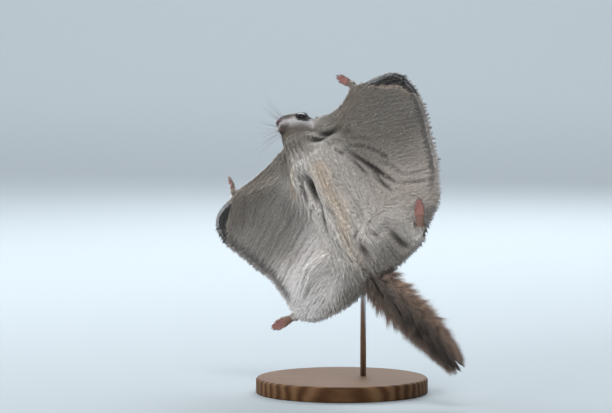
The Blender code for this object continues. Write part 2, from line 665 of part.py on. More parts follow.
def tail_lock(share, angle, rng, lean=1.0):
    """One lock: out of the core at a slant, bending back to lie along the tail, flat and tapered to its tip."""
    centre, ahead = along(TAIL, [share, min(share + 0.02, 1.0)]) if share < 0.98 else along(TAIL, [0.96, 1.0])
    axis = unit(ahead - centre)
    aside = unit(np.cross((0, 0, 1), axis))
    over = np.cross(axis, aside)
    out = aside * math.cos(angle) + over * BRUSH_FLAT * math.sin(angle)
    flat = unit(np.cross(axis, out))
    knots = np.linspace(0, 1, len(BRUSH_WIDE))
    length = LOCK_LENGTH * rng.uniform(0.88, 1.08) * np.interp(share, (0, 0.2, 1), (0.62, 1.0, 0.92))
    tip_share = min(share + 0.75 * length / length_of(TAIL), 1.0)
    brush = np.interp(tip_share, knots, BRUSH_WIDE) * lean * rng.uniform(0.9, 1.06)
    core = np.interp(share, np.linspace(0, 1, len(TAIL_CORE)), TAIL_CORE) * 0.55 * lean
    rise = min(max(brush - core, 2.0), STEEPEST * length)
    run = math.sqrt(max(length ** 2 - rise ** 2, (0.5 * length) ** 2))
    rows = []
    for step, width, thick in LOCK_SHAPE + ((1.0, 0.0, 0.0),):
        bend = step + 0.22 * math.sin(math.pi * step)
        rows.append((*(centre + out * (core + rise * bend) + axis * run * step),
                     LOCK_WIDTH / 2 * width, LOCK_THICK / 2 * thick))
    points, faces = tube(rows[:-1], np.cross(flat, axis), 4)
    points[-1] = rows[-1][:3]
    return points, faces


def make_stand(animal):
    """A turned wooden disc, and a rod that rises from it, bends and ends in the middle of the back."""
    radius, height, soft = BASE_RADIUS, BASE_HEIGHT, BASE_ROUND
    profile = [(0.0, 0.0), (radius - 1.0, 0.0), (radius, 1.0), (radius, height - soft)]
    profile += [(radius - soft + soft * math.cos(a), height - soft + soft * math.sin(a))
                for a in np.linspace(0, math.pi / 2, 3)[1:]]
    profile.append((0.0, height))
    turn = np.linspace(0, 2 * math.pi, 40, endpoint=False)
    rings = [[(r * math.cos(a), r * math.sin(a), z) for a in turn] for r, z in profile[1:-1]]
    points = np.array(rings).reshape(-1, 3)
    points = np.vstack([points, [(0, 0, profile[0][1]), (0, 0, profile[-1][1])]])
    solid("stand_base", (points, ring_faces(len(profile) - 2, len(turn))), "wood")

    matrix = np.array(animal.matrix_world)
    turned, moved = matrix[:3, :3], matrix[:3, 3] / MM
    trunk = along(TRUNK, np.linspace(0, 1, 200))
    entry = trunk[np.argmin(abs(trunk[:, 0] - ROD_BODY_X))]
    start = turned @ (entry[:3] + (0, 0, entry[4] - ROD_SOCKET)) + moved
    way = turned @ np.array((0.0, 0.0, 1.0))
    corner = start + way * ROD_OUT
    flat = np.array((way[0], way[1], 0.0))
    down = np.array((0.0, 0.0, -1.0))
    bend = [corner - way * ROD_BEND * (1 - u) ** 2 + down * ROD_BEND * u ** 2 for u in np.linspace(0, 1, 7)]
    foot = np.array((corner[0], corner[1], BASE_HEIGHT + GAP))
    path = [start] + bend + [foot]
    stations = np.column_stack([np.array(path), np.full((len(path), 2), ROD_RADIUS)])
    side = np.cross(flat, down)
    return tube(stations, side, 12), tube(np.column_stack([stations[:, :3], stations[:, 3:] + GAP]), side, 12)


def build():
    for found in list(bpy.data.objects):
        bpy.data.objects.remove(found)
    animal = bpy.data.objects.new("animal", None)
    bpy.context.scene.collection.objects.link(animal)
    tilt = np.array(((1, 0, 0), (0, math.sin(VIEW_TILT), -math.cos(VIEW_TILT)),
                     (0, math.cos(VIEW_TILT), math.sin(VIEW_TILT))))
    frame = axes((0, 0, 0), tilt @ np.array(FORWARD_SEEN), tilt @ np.array(LEFT_SEEN))
    frame[:3, 3] = np.array((TRUNK_RIGHT_OF_BASE, -TRUNK_FRONT_OF_BASE, TRUNK_ABOVE_BASE + BASE_HEIGHT)) * MM
    animal.matrix_world = Matrix(frame.tolist())
    bpy.context.view_layer.update()

    torso = solid("torso", trunk_shape(), "fur", animal)
    make_neck(animal)
    make_head(animal)
    make_ears(animal)
    for side in ("left", "right"):
        make_limb(side, ARM[side], (f"upper_arm_{side}", f"forearm_{side}", f"hand_{side}"), JOINT_AT["arm"],
                  HAND, HAND_WAY[side], PALM_FACES[side], animal)
        make_limb(side, LEG[side], (f"thigh_{side}", f"shank_{side}", f"foot_{side}"), JOINT_AT["leg"],
                  FOOT, FOOT_WAY[side], SOLE_FACES[side], animal)
        make_membranes(side, animal)
    make_tail(animal)
    rod, grown_rod = make_stand(animal)
    solid("stand_rod", rod, "steel")
    inverse = np.array(animal.matrix_world.inverted())
    local = (np.asarray(grown_rod[0]) @ inverse[:3, :3].T + inverse[:3, 3] / MM, grown_rod[1])
    combine(torso, "DIFFERENCE", [local])


build()
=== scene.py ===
"""The finish of a gliding flying squirrel model: its skin, coat, tail, eyes, claws, whiskers and stand."""
import json
import math

import bpy
import numpy as np
from mathutils import Matrix

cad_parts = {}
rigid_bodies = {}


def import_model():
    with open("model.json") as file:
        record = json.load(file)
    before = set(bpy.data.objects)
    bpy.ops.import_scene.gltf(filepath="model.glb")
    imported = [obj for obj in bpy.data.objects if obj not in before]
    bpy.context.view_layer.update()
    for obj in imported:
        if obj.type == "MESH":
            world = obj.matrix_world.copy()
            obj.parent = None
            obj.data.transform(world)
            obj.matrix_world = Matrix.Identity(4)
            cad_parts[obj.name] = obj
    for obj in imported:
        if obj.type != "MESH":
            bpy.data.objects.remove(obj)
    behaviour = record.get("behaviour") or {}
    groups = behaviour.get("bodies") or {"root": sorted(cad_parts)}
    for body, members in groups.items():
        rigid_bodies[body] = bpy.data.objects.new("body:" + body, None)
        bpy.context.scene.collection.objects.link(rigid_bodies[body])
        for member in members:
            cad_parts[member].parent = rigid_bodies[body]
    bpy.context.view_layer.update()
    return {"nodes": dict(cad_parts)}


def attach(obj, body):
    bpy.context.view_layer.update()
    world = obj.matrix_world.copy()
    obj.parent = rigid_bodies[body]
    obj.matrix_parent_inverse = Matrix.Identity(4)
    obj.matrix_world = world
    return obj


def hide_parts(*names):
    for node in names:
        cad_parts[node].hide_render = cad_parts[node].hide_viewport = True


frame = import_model()
for spare in ("Cube", "Light", "Camera"):
    if spare in bpy.data.objects:
        bpy.data.objects.remove(bpy.data.objects[spare])

# The pose. The animal is worked out in its own axes, in millimetres: x forward along the trunk, y to its
# left, z up through its back. It hangs banked over the base, belly to whoever stands in front.
VIEW_TILT = math.radians(5.0)
FORWARD_SEEN, LEFT_SEEN = (-0.378, 0.792, -0.475), (0.649, 0.595, 0.475)
TRUNK_PLACE = np.array((-14.0, -10.0, 159.0))
MM = 0.001


def unit(vectors):
    """Vectors over their own length."""
    vectors = np.asarray(vectors, float)
    return vectors / np.maximum(np.linalg.norm(vectors, axis=-1, keepdims=True), 1e-12)


def pose_of(x, y, z, origin):
    """A pose as a four by four table, from its three axes and its place."""
    pose = np.eye(4)
    pose[:3] = np.column_stack([x, y, z, origin])
    return pose


def even(count):
    """Even steps from 0 to 1."""
    return np.linspace(0, 1, count)


def norms(vectors):
    """How long each vector is."""
    return np.linalg.norm(vectors, axis=-1)


def bell(distance, reach, power=2):
    """1 at no distance, fading as exp(-(distance / reach) ** power)."""
    return np.exp(-((distance / reach) ** power))


def axes(origin, forward, left_hint):
    """A pose: x forward, y as near as can be to the hint, z across both."""
    x = unit(forward)
    z = unit(np.cross(x, left_hint))
    return pose_of(x, np.cross(z, x), z, origin)


def placed(points, pose):
    """Points turned and moved by a pose."""
    return points @ pose[:3, :3].T + pose[:3, 3]


def unplaced(points, pose):
    """Points as the pose's own axes see them."""
    return (points - pose[:3, 3]) @ pose[:3, :3]


tilt = np.array(((1, 0, 0), (0, math.sin(VIEW_TILT), -math.cos(VIEW_TILT)),
                 (0, math.cos(VIEW_TILT), math.sin(VIEW_TILT))))
ANIMAL = axes(TRUNK_PLACE, tilt @ np.array(FORWARD_SEEN), tilt @ np.array(LEFT_SEEN))


def new_piece(name, points, faces, world=True):
    """A mesh object: points in the animal's axes in millimetres, and faces of three or four corners."""
    mesh = bpy.data.meshes.new(name)
    place = (placed(points, ANIMAL) if world else points) * MM
    mesh.vertices.add(len(points))
    mesh.vertices.foreach_set("co", place.astype(np.float32).ravel())
    mesh.loops.add(faces.size)
    mesh.loops.foreach_set("vertex_index", faces.astype(np.int32).ravel())
    mesh.polygons.add(len(faces))
    mesh.polygons.foreach_set("loop_start", np.arange(0, faces.size, faces.shape[1], dtype=np.int32))
    mesh.update(calc_edges=True)
    mesh.shade_smooth()
    piece = bpy.data.objects.new(name, mesh)
    bpy.context.scene.collection.objects.link(piece)
    return piece


# The body under the coat. One skin of flesh: trunk, neck, head, limbs and the thin flight membrane that
# runs from cheek to wrist, wrist to ankle and ankle to tail, all grown together without a seam.
# It is built a coat's depth smaller than the solids of the frame.
TRUNK = ((54, 6, -1, 15, 13), (42, 5, -1.5, 20, 15.5), (22, 5.5, -2, 22, 16), (-5, 7, -2, 22, 15.5),
         (-32, 9, -1.5, 23, 15.5), (-55, 10.8, -0.5, 21.5, 14.5), (-70, 12, 0.5, 14, 10.5),
         (-79, 13.2, 1.5, 8, 7))
NECK = ((42, 5.6, -1.5, 18, 15), (58, 6.8, -2.2, 16.4, 15.2), (66, 7.6, -2.6, 15.6, 15.4),
        (71.5, 8.6, -2.8, 14.6, 15))
ARM = {
    "left": ((40, 14, 0, 8, 8), (44, 33, -0.5, 6.6, 6.4), (49, 50, -1, 5.2, 5.2), (57, 64, -0.5, 4.3, 4.2),
             (66, 77, 0, 3.3, 2.9)),
    "right": ((41, -4, 0, 8, 8), (46, -24, -0.5, 6.6, 6.4), (53, -44, -1, 5.2, 5.2),
              (60, -61, -0.5, 4.3, 4.2), (68, -78, 0, 3.3, 2.9)),
}
LEG = {
    "left": ((-58, 22, -1, 12, 10), (-54, 40, -3, 10.5, 9.5), (-55, 56, -4, 8.6, 8.4), (-70, 66, -3, 6.4, 6),
             (-86, 71.5, -1.5, 4.2, 4)),
    "right": ((-58, 0, -1, 12, 10), (-49, -18, -2.5, 10.5, 9.5), (-44, -36, -3.5, 8.6, 8.4),
              (-53, -54, -2.5, 6.4, 6), (-63.5, -69.5, -1, 4.2, 4)),
}
LEADING_EDGE = {
    "left": ((72, 20, 3.5), (69, 32, 3.5), (64.5, 46, 2), (63, 60, 1), (65.5, 71, 0), (68.5, 78, 0)),
    "right": ((66, -8, -3), (67, -24, -1.5), (68, -43, 0), (68, -58, 0), (69.5, -72, 0), (71, -79, 0)),
}
WINGTIP_EDGE = {
    "left": ((66, 77, 0), (63.5, 86, 0.5), (59, 101, 1.5), (52.5, 114.5, 3), (45, 120.5, 4.5)),
    "right": ((68, -78, 0), (69, -88, 1), (69.5, -98, 2.5), (68, -107, 4.5), (62, -113.5, 6.5)),
}
SIDE_EDGE = {
    "left": ((45, 120.5, 4.5), (26, 123.5, 8), (5.5, 119, 12), (-12, 111, 16), (-26, 106.5, 18),
             (-46.5, 96.5, 19), (-62, 89, 17), (-71, 82, 11), (-79, 76, 4), (-86, 71.5, -1)),
    "right": ((62, -113.5, 6.5), (52, -116, 11), (38, -113, 15), (29.5, -109.5, 17), (14, -104, 20),
              (-9, -93.5, 20), (-24, -89, 17), (-36.5, -83, 11), (-48, -78, 5), (-63.5, -69.5, -1)),
}
TRAILING_EDGE = {
    "left": ((-89.5, 73, -1), (-91.5, 58, 0), (-91, 42, 1), (-88, 28, 1.5), (-84, 13.5, 2)),
    "right": ((-68, -70, -1), (-80, -55, 0), (-84.5, -41, 0.5), (-88, -23, 1), (-87, -4, 1.5),
              (-84, 13.5, 2)),
}
TAIL = ((-78, 13, 1.4), (-102, 18, 5), (-128, 23, 13), (-152, 28, 20), (-172, 31, 24))
TAIL_CORE, TAIL_CORE_FLAT = (5.6, 6.6, 6.8, 5.6, 2.4), 0.72
SIDES = ("left", "right")
COAT_DEEP = {"trunk": 2.0, "neck": 0.7, "head": 0.5, "limb": 1.2}
MEMBRANE_THICK, EDGE_PULLED_IN, BILLOW, SHOULDER_ARCH = 1.25, 1.0, 7.0, 3.0
NARROW_GRID, WIDE_GRID = (24, 70), (110, 90)
# A sheet is thicker where it leaves a limb or the trunk: by how much, and how far that reaches.
FILLETS = {"arm": (4.0, 9.0), "leg": (7.0, 16.0), "trunk": (19.0, 24.0)}


def along(points, where):
    """A smooth curve through the points, read at shares of its length: cubic pieces with matched slopes."""
    points = np.asarray(points, float)
    steps = norms(np.diff(points[:, :3], axis=0))
    knots = np.concatenate(([0.0], np.cumsum(steps))) / steps.sum()
    slopes = np.gradient(points, knots, axis=0)
    where = np.atleast_1d(np.asarray(where, float))
    left = np.clip(np.searchsorted(knots, where, side="right") - 1, 0, len(knots) - 2)
    span = (knots[left + 1] - knots[left])[:, None]
    u = (where - knots[left])[:, None] / span
    near = (1 + 2 * u) * (1 - u) ** 2 * points[left] + u * (1 - u) ** 2 * span * slopes[left]
    return near + u * u * (3 - 2 * u) * points[left + 1] + u * u * (u - 1) * span * slopes[left + 1]


def wall(rings, sides):
    """Triangles between neighbouring rings of points, and fans to one point over each end."""
    ring, side = np.meshgrid(np.arange(rings - 1), np.arange(sides), indexing="ij")
    a, b = ring * sides + side, ring * sides + (side + 1) % sides
    tube_wall = np.stack([a, b, b + sides, a, b + sides, a + sides], axis=-1).reshape(-1, 3)
    side = np.arange(sides)
    after, last, tip = (side + 1) % sides, (rings - 1) * sides, rings * sides
    first_fan = np.stack([np.full(sides, tip), after, side], axis=-1)
    last_fan = np.stack([np.full(sides, tip + 1), last + side, last + after], axis=-1)
    return np.vstack([tube_wall, first_fan, last_fan])


THINNEST, END_RINGS, END_START = 0.005, 5, 0.15


def tube(stations, sides, thinner=0.0, round_start=2.0, round_end=2.0, up=(0, 0, 1)):
    """Ellipses of given half width and half depth round a path, ended by quarter ellipses.

    A point is path(s) + aside * half_width(s) * cos(t) + over * half_depth(s) * sin(t)."""
    stations = np.array(stations, float)
    stations[:, 3:5] = np.maximum(stations[:, 3:5] - thinner, THINNEST)
    path = unit(np.gradient(stations[:, :3], axis=0))
    turn = np.linspace(END_START, math.pi / 2, END_RINGS)
    start, end = np.repeat(stations[:1], END_RINGS, axis=0), np.repeat(stations[-1:], END_RINGS, axis=0)
    start[:, :3] -= path[0] * round_start * np.cos(turn)[:, None]
    end[:, :3] += path[-1] * round_end * np.cos(turn)[:, None]
    start[:, 3:5] *= np.sin(turn)[:, None]
    end[:, 3:5] *= np.sin(turn)[:, None]
    rows = np.vstack([start[:-1], stations, end[:-1][::-1]])
    ways = np.vstack([np.repeat(path[:1], END_RINGS - 1, axis=0), path,
                      np.repeat(path[-1:], END_RINGS - 1, axis=0)])
    aside = unit(np.cross(np.asarray(up, float), ways))
    over = np.cross(ways, aside)
    t = np.linspace(0, 2 * math.pi, sides, endpoint=False)[None, :, None]
    points = (rows[:, None, :3] + aside[:, None] * rows[:, None, 3:4] * np.cos(t)
              + over[:, None] * rows[:, None, 4:5] * np.sin(t)).reshape(-1, 3)
    ends = [stations[0, :3] - path[0] * round_start, stations[-1, :3] + path[-1] * round_end]
    return np.vstack([points, ends]), wall(len(rows), sides)


def ball(centre, radii, around=28, rows=17):
    """An ellipsoid with its poles on the x axis: (-cos u, sin u cos v, sin u sin v) times its radii."""
    lift = np.linspace(0, math.pi, rows + 2)[1:-1, None]
    turn = np.linspace(0, 2 * math.pi, around, endpoint=False)[None]
    out = np.sin(lift)
    grid = np.stack([-np.cos(lift) + 0 * turn, out * np.cos(turn), out * np.sin(turn)], axis=-1)
    points = np.vstack([grid.reshape(-1, 3), [[-1, 0, 0], [1, 0, 0]]])
    return points * np.asarray(radii, float) + np.asarray(centre, float), wall(rows, around)


def sheet_faces(rows, columns):
    """Triangles of a grid's two faces and of the rim between them."""
    row, column = np.meshgrid(np.arange(rows - 1), np.arange(columns - 1), indexing="ij")
    a = (row * columns + column).ravel()
    b, c, d, n = a + 1, a + columns + 1, a + columns, rows * columns
    top = np.vstack([np.stack([a, d, c], 1), np.stack([a, c, b], 1)])
    under = np.vstack([np.stack([a, c, d], 1), np.stack([a, b, c], 1)]) + n
    first, last = np.arange(columns - 1), (rows - 1) * columns + np.arange(columns - 1, 0, -1)
    right, left = np.arange(rows - 1) * columns + columns - 1, np.arange(rows - 1, 0, -1) * columns
    loop = np.concatenate([first, right, last, left])
    after = np.roll(loop, -1)
    rim = np.vstack([np.stack([loop, after, after + n], 1), np.stack([loop, after + n, loop + n], 1)])
    return np.vstack([top, under, rim])


def sheet(surface, thick):
    """A thin sheet: a grid of points moved half its thickness both ways along its normal."""
    normal = unit(np.cross(np.gradient(surface, axis=0), np.gradient(surface, axis=1)))
    shift = normal * (np.broadcast_to(thick, surface.shape[:2])[..., None] / 2)
    points = np.concatenate([(surface + shift).reshape(-1, 3), (surface - shift).reshape(-1, 3)])
    return points, sheet_faces(*surface.shape[:2])


def pulled(edge, toward, by):
    """An edge moved in by a distance, toward the line that it grows from."""
    return edge + unit(toward - edge) * by


def mixed(front, rear, inner, outer):
    """A surface over four edges: the two blends between opposite edges less the blend of the corners."""
    s, t = even(len(inner))[:, None, None], even(len(front))[None, :, None]
    corners = ((1 - s) * (1 - t) * front[0] + (1 - s) * t * front[-1]
               + s * (1 - t) * rear[0] + s * t * rear[-1])
    return (1 - s) * front[None] + s * rear[None] + (1 - t) * inner[:, None] + t * outer[:, None] - corners


def fillet(surface, line, extra, reach):
    """Extra thickness where a sheet meets the limb that lies along a line, fading with distance from it."""
    return extra * bell(norms(surface[:, :, None] - line[None, None]).min(axis=-1), reach)


def membranes(side):
    """The three sheets of one wing, thick where they leave trunk and limbs.

    The first runs from the leading edge to the arm and the last from the leg to the trailing edge, each a
    straight blend between its two lines. The main one spans four edges and billows by
    BILLOW * (sin(pi s) * sin(pi t)) ** 0.8."""
    arm, leg = [p[:3] for p in ARM[side]], [p[:3] for p in LEG[side]]
    lines = {"arm": along(arm, even(30)), "leg": along(leg, even(30)),
             "trunk": along([p[:3] for p in TRUNK], np.linspace(0.05, 1, 40))}
    sheets = []
    s, t = even(NARROW_GRID[0])[:, None, None], even(NARROW_GRID[1])
    rear = along(arm, t)
    front = pulled(along(LEADING_EDGE[side], t), rear, EDGE_PULLED_IN * 0.7)
    sheets.append((1 - s) * front[None] + s * rear[None])
    down, across = [even(count) for count in WIDE_GRID]
    front = along(arm + list(WINGTIP_EDGE[side][1:]), across)
    rear = along(leg, across)
    outer = along(SIDE_EDGE[side], down)
    inner = down[:, None] * (rear[0] - front[0]) + front[0]
    inner[:, 2] += SHOULDER_ARCH * np.sin(math.pi * down)
    surface = mixed(front, rear, inner, outer)
    rise_s = np.sin(math.pi * down)[:, None] ** 0.8
    surface[..., 2] += BILLOW * rise_s * np.sin(math.pi * across)[None] ** 0.8
    sheets.append(surface)
    front = along(leg, t)
    rear = pulled(along(TRAILING_EDGE[side], 1 - t), front, EDGE_PULLED_IN)
    sheets.append((1 - s) * front[None] + s * rear[None])
    made = []
    for surface in sheets:
        thick = MEMBRANE_THICK
        for kind, line in lines.items():
            thick = thick + fillet(surface, line, *FILLETS[kind])
        made.append(sheet(surface, thick))
    return made


def join(shapes):
    """Shapes laid end to end in one pair of arrays."""
    points, faces, count = [], [], 0
    for shape_points, shape_faces in shapes:
        points.append(shape_points)
        faces.append(shape_faces + count)
        count += len(shape_points)
    return np.vstack(points), np.vstack(faces)


def arrays(piece):
    """A piece's evaluated mesh as points in millimetres and triangles."""
    mesh = piece.evaluated_get(bpy.context.evaluated_depsgraph_get()).to_mesh()
    mesh.calc_loop_triangles()
    points, faces = np.empty(len(mesh.vertices) * 3), np.empty(len(mesh.loop_triangles) * 3, np.int32)
    mesh.vertices.foreach_get("co", points)
    mesh.loop_triangles.foreach_get("vertices", faces)
    return points.reshape(-1, 3) / MM, faces.reshape(-1, 3)


def grown_together(shapes, voxel, smoothing, keep):
    """Overlapping closed shapes made one surface: remeshed over small cubes, smoothed, then thinned."""
    piece = new_piece("flesh", *join(shapes), world=False)
    remesh = piece.modifiers.new("fuse", "REMESH")
    remesh.mode, remesh.voxel_size, remesh.adaptivity = "VOXEL", voxel * MM, 0.0
    soften = piece.modifiers.new("soften", "SMOOTH")
    soften.factor, soften.iterations = 0.5, smoothing
    thin = piece.modifiers.new("thin", "DECIMATE")
    thin.ratio = keep
    made = arrays(piece)
    bpy.data.objects.remove(piece)
    return made


tail_rows = np.column_stack([TAIL, TAIL_CORE, np.array(TAIL_CORE) * TAIL_CORE_FLAT])
body_shapes = [tube(along(tail_rows, even(60)), 32, 1.0),
               tube(along(TRUNK, even(60)), 64, COAT_DEEP["trunk"],
                    round_start=6.0, round_end=4.0),
               tube(along(NECK, even(30)), 48, COAT_DEEP["neck"], round_end=5.0)]
for side in SIDES:
    for limb in (ARM, LEG):
        body_shapes.append(tube(along(limb[side], even(40)), 32, COAT_DEEP["limb"]))
    body_shapes += membranes(side)

# The head: a rounded skull and short muzzle, cheeks, whisker pads over the mouth, the lower jaw, the bare
# nose, a lid round each big eye and the cups of the ears, folded back along the neck.
HEAD = axes((74.1, 11.2, 0.0), (0.340, -0.433, -0.835), (0.029, 0.892, -0.451))
SKULL = ((-17, -1.8, 3, 2.8), (-14, -1.6, 6.4, 5.6), (-8.5, -1, 9.2, 7.8), (-4.5, -0.5, 10.6, 9.1),
         (0, 0, 11.5, 10.2), (5, 0.2, 11, 10.2), (9.5, 0.3, 9.4, 9.3), (13, 0.4, 7.8, 8.1),
         (16.5, 0.3, 6.2, 6.6), (18.8, 0.1, 4.4, 4.7), (20, 0, 2.6, 2.8))
JAW, NOSE = ((11.6, 0, -7.6), (6.9, 5.3, 3.3)), ((19.2, 0, 0.6), (2.0, 3.0, 2.4))
CHEEK_PAD, WHISKER_PAD = ((1.0, 6.2, -4.4), (9, 5, 4.8)), ((14.2, 3.1, -3.2), (5.2, 3.6, 3.6))
EYE_SOCKET_WALL = 0.35
EYE_RADIUS, EYE_CENTRE, EYE_WAY = 5.3, np.array((1.2, 6.9, 1.9)), unit((0.25, 0.93, 0.27))
LID_OUT, LID_ROUND, LID_THICK, LID_STEPS, LID_ROLL_STEPS = 3.2, 4.35, 0.6, 48, 12
EAR = axes((-11.5, 8.2, 1.0), (-0.86, 0.04, -0.45), (-0.35, 0.35, 0.87))
EAR_LENGTH, EAR_WIDTH, EAR_CUP, EAR_THICK = 14.0, 9.0, 3.0, 1.0


def both(shape):
    """A shape and its mirror image across the head's middle, faces turned to point out again."""
    points, faces = shape
    return [shape, (points * (1, -1, 1), faces[:, ::-1])]


def lid_ring():
    """The rims of both lids: a ring round the ball of the eye, a little wider than it is high."""
    turn = np.linspace(0, 2 * math.pi, LID_STEPS, endpoint=False)[:, None]
    roll = np.linspace(0, 2 * math.pi, LID_ROLL_STEPS, endpoint=False)[None]
    reach = LID_ROUND + LID_THICK * np.cos(roll)
    points = np.stack([LID_OUT + LID_THICK * np.sin(roll) + 0 * turn, reach * np.cos(turn),
                       0.9 * reach * np.sin(turn)], axis=-1).reshape(-1, 3)
    i, j = np.meshgrid(np.arange(LID_STEPS), np.arange(LID_ROLL_STEPS), indexing="ij")
    here, after = i * LID_ROLL_STEPS, (i + 1) % LID_STEPS * LID_ROLL_STEPS
    a, b = here + j, here + (j + 1) % LID_ROLL_STEPS
    c, d = after + (j + 1) % LID_ROLL_STEPS, after + j
    faces = np.stack([a, c, b, a, d, c], axis=-1).reshape(-1, 3)
    return placed(points, axes(EYE_CENTRE, EYE_WAY, (1, 0, 0))), faces


def ear_cup():
    """One ear: a leaf, broad in its lower half, hollow along its middle, its rim turned up."""
    rows, across = even(30)[:, None], np.linspace(-1, 1, 31)[None]
    half = EAR_WIDTH / 2 * np.sin(math.pi * (0.16 + 0.80 * rows)) ** 0.75
    lift = EAR_CUP * (across ** 2 - 0.45) * np.sin(math.pi * (0.25 + 0.6 * rows)) * (half / EAR_WIDTH * 2)
    grid = np.stack([EAR_LENGTH * (rows - 0.12) + 0 * across, half * across, lift], axis=-1)
    points, faces = sheet(grid, EAR_THICK)
    return placed(points, EAR), faces


x, lift, wide, deep = np.array(SKULL, float).T
skull_rows = along(np.stack([x, 0 * x, lift, wide, deep], axis=1), even(60))
head_shapes = [tube(skull_rows, 48, COAT_DEEP["head"], 0.6, 0.6), ball(*JAW), ball(*NOSE)]
for shape in (ball(*CHEEK_PAD), ball(*WHISKER_PAD), ball(EYE_CENTRE, (EYE_RADIUS + EYE_SOCKET_WALL,) * 3),
              lid_ring(), ear_cup()):
    head_shapes += both(shape)
head_shapes = [(placed(points, HEAD), faces) for points, faces in head_shapes]

# The paws: a slim four-fingered hand and a long five-toed foot on each side, bare underneath with round
# pads at the roots and tips of the digits.
HAND_WAY = {"left": (0.795, -0.382, -0.471), "right": (0.981, 0.192, 0.029)}
PALM_FACES = {"left": (-0.45, 0.30, -0.84), "right": (0.10, -0.60, -0.79)}
FOOT_WAY = {"left": (0.818, 0.548, -0.175), "right": (0.238, -0.971, -0.028)}
SOLE_FACES = {"left": (-0.45, 0.42, -0.79), "right": (-0.45, -0.10, -0.89)}
HAND = {"length": 18.0, "palm": 9.0, "width": 6.2, "thick": 3.6, "digit": 1.15, "claw": 2.0, "spread": 9.0,
        "reach": (0.80, 0.97, 1.0, 0.86)}
FOOT = {"length": 30.5, "palm": 19.5, "width": 7.8, "thick": 5.0, "digit": 1.3, "claw": 2.2, "spread": 6.0,
        "reach": (0.80, 0.96, 1.0, 0.98, 0.86)}
PAW_SIZES = {"hand": HAND, "foot": FOOT}
HEEL_PAD, PAD_STEPS = (2.2, 1.3, 0.9), (14, 9)


def paw_pose(limb, way, faces):
    """A paw's axes at its limb's end: x along the digits, z out of the back of the paw."""
    x = unit(way)
    z = -np.asarray(faces, float)
    z = unit(z - x * (z @ x))
    return axes(np.array(limb[-1][:3], float) + x * 0.6, x, np.cross(z, x))


def paw_shapes(size, side):
    """Palm or sole, digits with soft joints, pads under them, and where each claw starts and points."""
    half_wide, half_thick, palm = size["width"] / 2, size["thick"] / 2, size["palm"]
    sole = [(palm * s, 0, 0, half_wide * w, half_thick * d)
            for s, w, d in ((0, 0.6, 0.95), (0.45, 0.76, 0.95), (0.85, 0.97, 0.8), (1, 0.86, 0.66))]
    shapes, claws = [tube(along(sole, even(20)), 24, 0.1)], []
    last_digit, turn = len(size["reach"]) - 1, 1 if side == "left" else -1
    for digit, reach in enumerate(size["reach"]):
        share = turn * (digit / last_digit - 0.5)
        angle, thick = math.radians(size["spread"]) * share, size["digit"]
        root = np.array((palm * 0.80, share * (size["width"] - 1.6 * thick), 0.0))
        way, down = np.array((math.cos(angle), math.sin(angle), 0.0)), np.array((0.0, 0.0, -1.0))
        long = size["length"] * reach - palm - size["claw"] + palm * 0.20
        line = [(*(root + way * long * u + down * drop), thick * w, thick * d)
                for u, drop, w, d in ((0, 0, 0.95, 0.9), (0.35, -0.1, 1.0, 1.0), (0.55, 0.1, 0.84, 0.84),
                                      (0.8, 0.5, 0.86, 0.9), (1, 0.9, 0.84, 0.9))]
        shapes.append(tube(along(line, even(16)), 14, 0.05, round_end=thick * 0.7))
        tip = np.array(line[-1][:3])
        shapes.append(ball(tip - way * 0.3 + down * thick * 0.45,
                           (thick, thick * 0.72, thick * 0.5), *PAD_STEPS))
        shapes.append(ball(root + way * palm * 0.06 + down * half_thick * 0.72,
                           (thick * 1.3, thick * 0.9, thick * 0.6), *PAD_STEPS))
        claws.append((tip + way * thick * 0.1, way))
    for across in (-0.22, 0.26):
        shapes.append(ball((palm * 0.2, across * size["width"], -half_thick * 0.66), HEEL_PAD, 16, 9))
    return shapes, claws


paw_poses, paw_flesh, claw_roots = {}, [], []
for side in SIDES:
    for kind, limb, way, faces in (("hand", ARM, HAND_WAY, PALM_FACES), ("foot", LEG, FOOT_WAY, SOLE_FACES)):
        pose = paw_pose(limb[side], way[side], faces[side])
        shapes, claws = paw_shapes(PAW_SIZES[kind], side)
        paw_poses[kind, side] = pose
        paw_flesh.append([(placed(points, pose), corners) for points, corners in shapes])
        claw_roots += [(placed(tip, pose), pose[:3, :3] @ line, -pose[:3, 2], PAW_SIZES[kind]["claw"])
                       for tip, line in claws]

# The flesh is fused in three grades of fineness, and joined into the one skin. Each grade is the size of its
# cubes in millimetres, how often it is smoothed, and the share of its triangles that is kept.
BODY_GRADE, HEAD_GRADE, PAW_GRADE = (0.6, 30, 0.22), (0.32, 5, 0.5), (0.28, 3, 0.5)
parts = [grown_together(body_shapes, *BODY_GRADE), grown_together(head_shapes, *HEAD_GRADE)]
parts += [grown_together(shapes, *PAW_GRADE) for shapes in paw_flesh]
skin = new_piece("skin", *parts[0])
others = bpy.data.collections.new("skin_parts")
bpy.context.scene.collection.children.link(others)
for count, part in enumerate(parts[1:]):
    other = new_piece(f"skin_part_{count}", *part)
    bpy.context.scene.collection.objects.unlink(other)
    others.objects.link(other)
union = skin.modifiers.new("join", "BOOLEAN")
union.operation, union.solver = "UNION", "MANIFOLD"
union.operand_type, union.collection = "COLLECTION", others
skin_points, skin_faces = arrays(skin)
skin_points = unplaced(skin_points, ANIMAL)
for other in list(others.objects):
    bpy.data.objects.remove(other)
bpy.data.collections.remove(others)
bpy.data.objects.remove(skin)
print("SKIN", len(skin_points), len(skin_faces))


def normals_of(points, faces):
    """The direction each vertex faces: the sum of its triangles' cross products, made one long."""
    corner = points[faces]
    across = np.cross(corner[:, 1] - corner[:, 0], corner[:, 2] - corner[:, 0])
    total = np.zeros_like(points)
    for axis in range(3):
        for corner_of_face in range(3):
            total[:, axis] += np.bincount(faces[:, corner_of_face], across[:, axis], minlength=len(points))
    return unit(total)


BATCH = 4000  # points compared at a time, so that the table of distances stays small


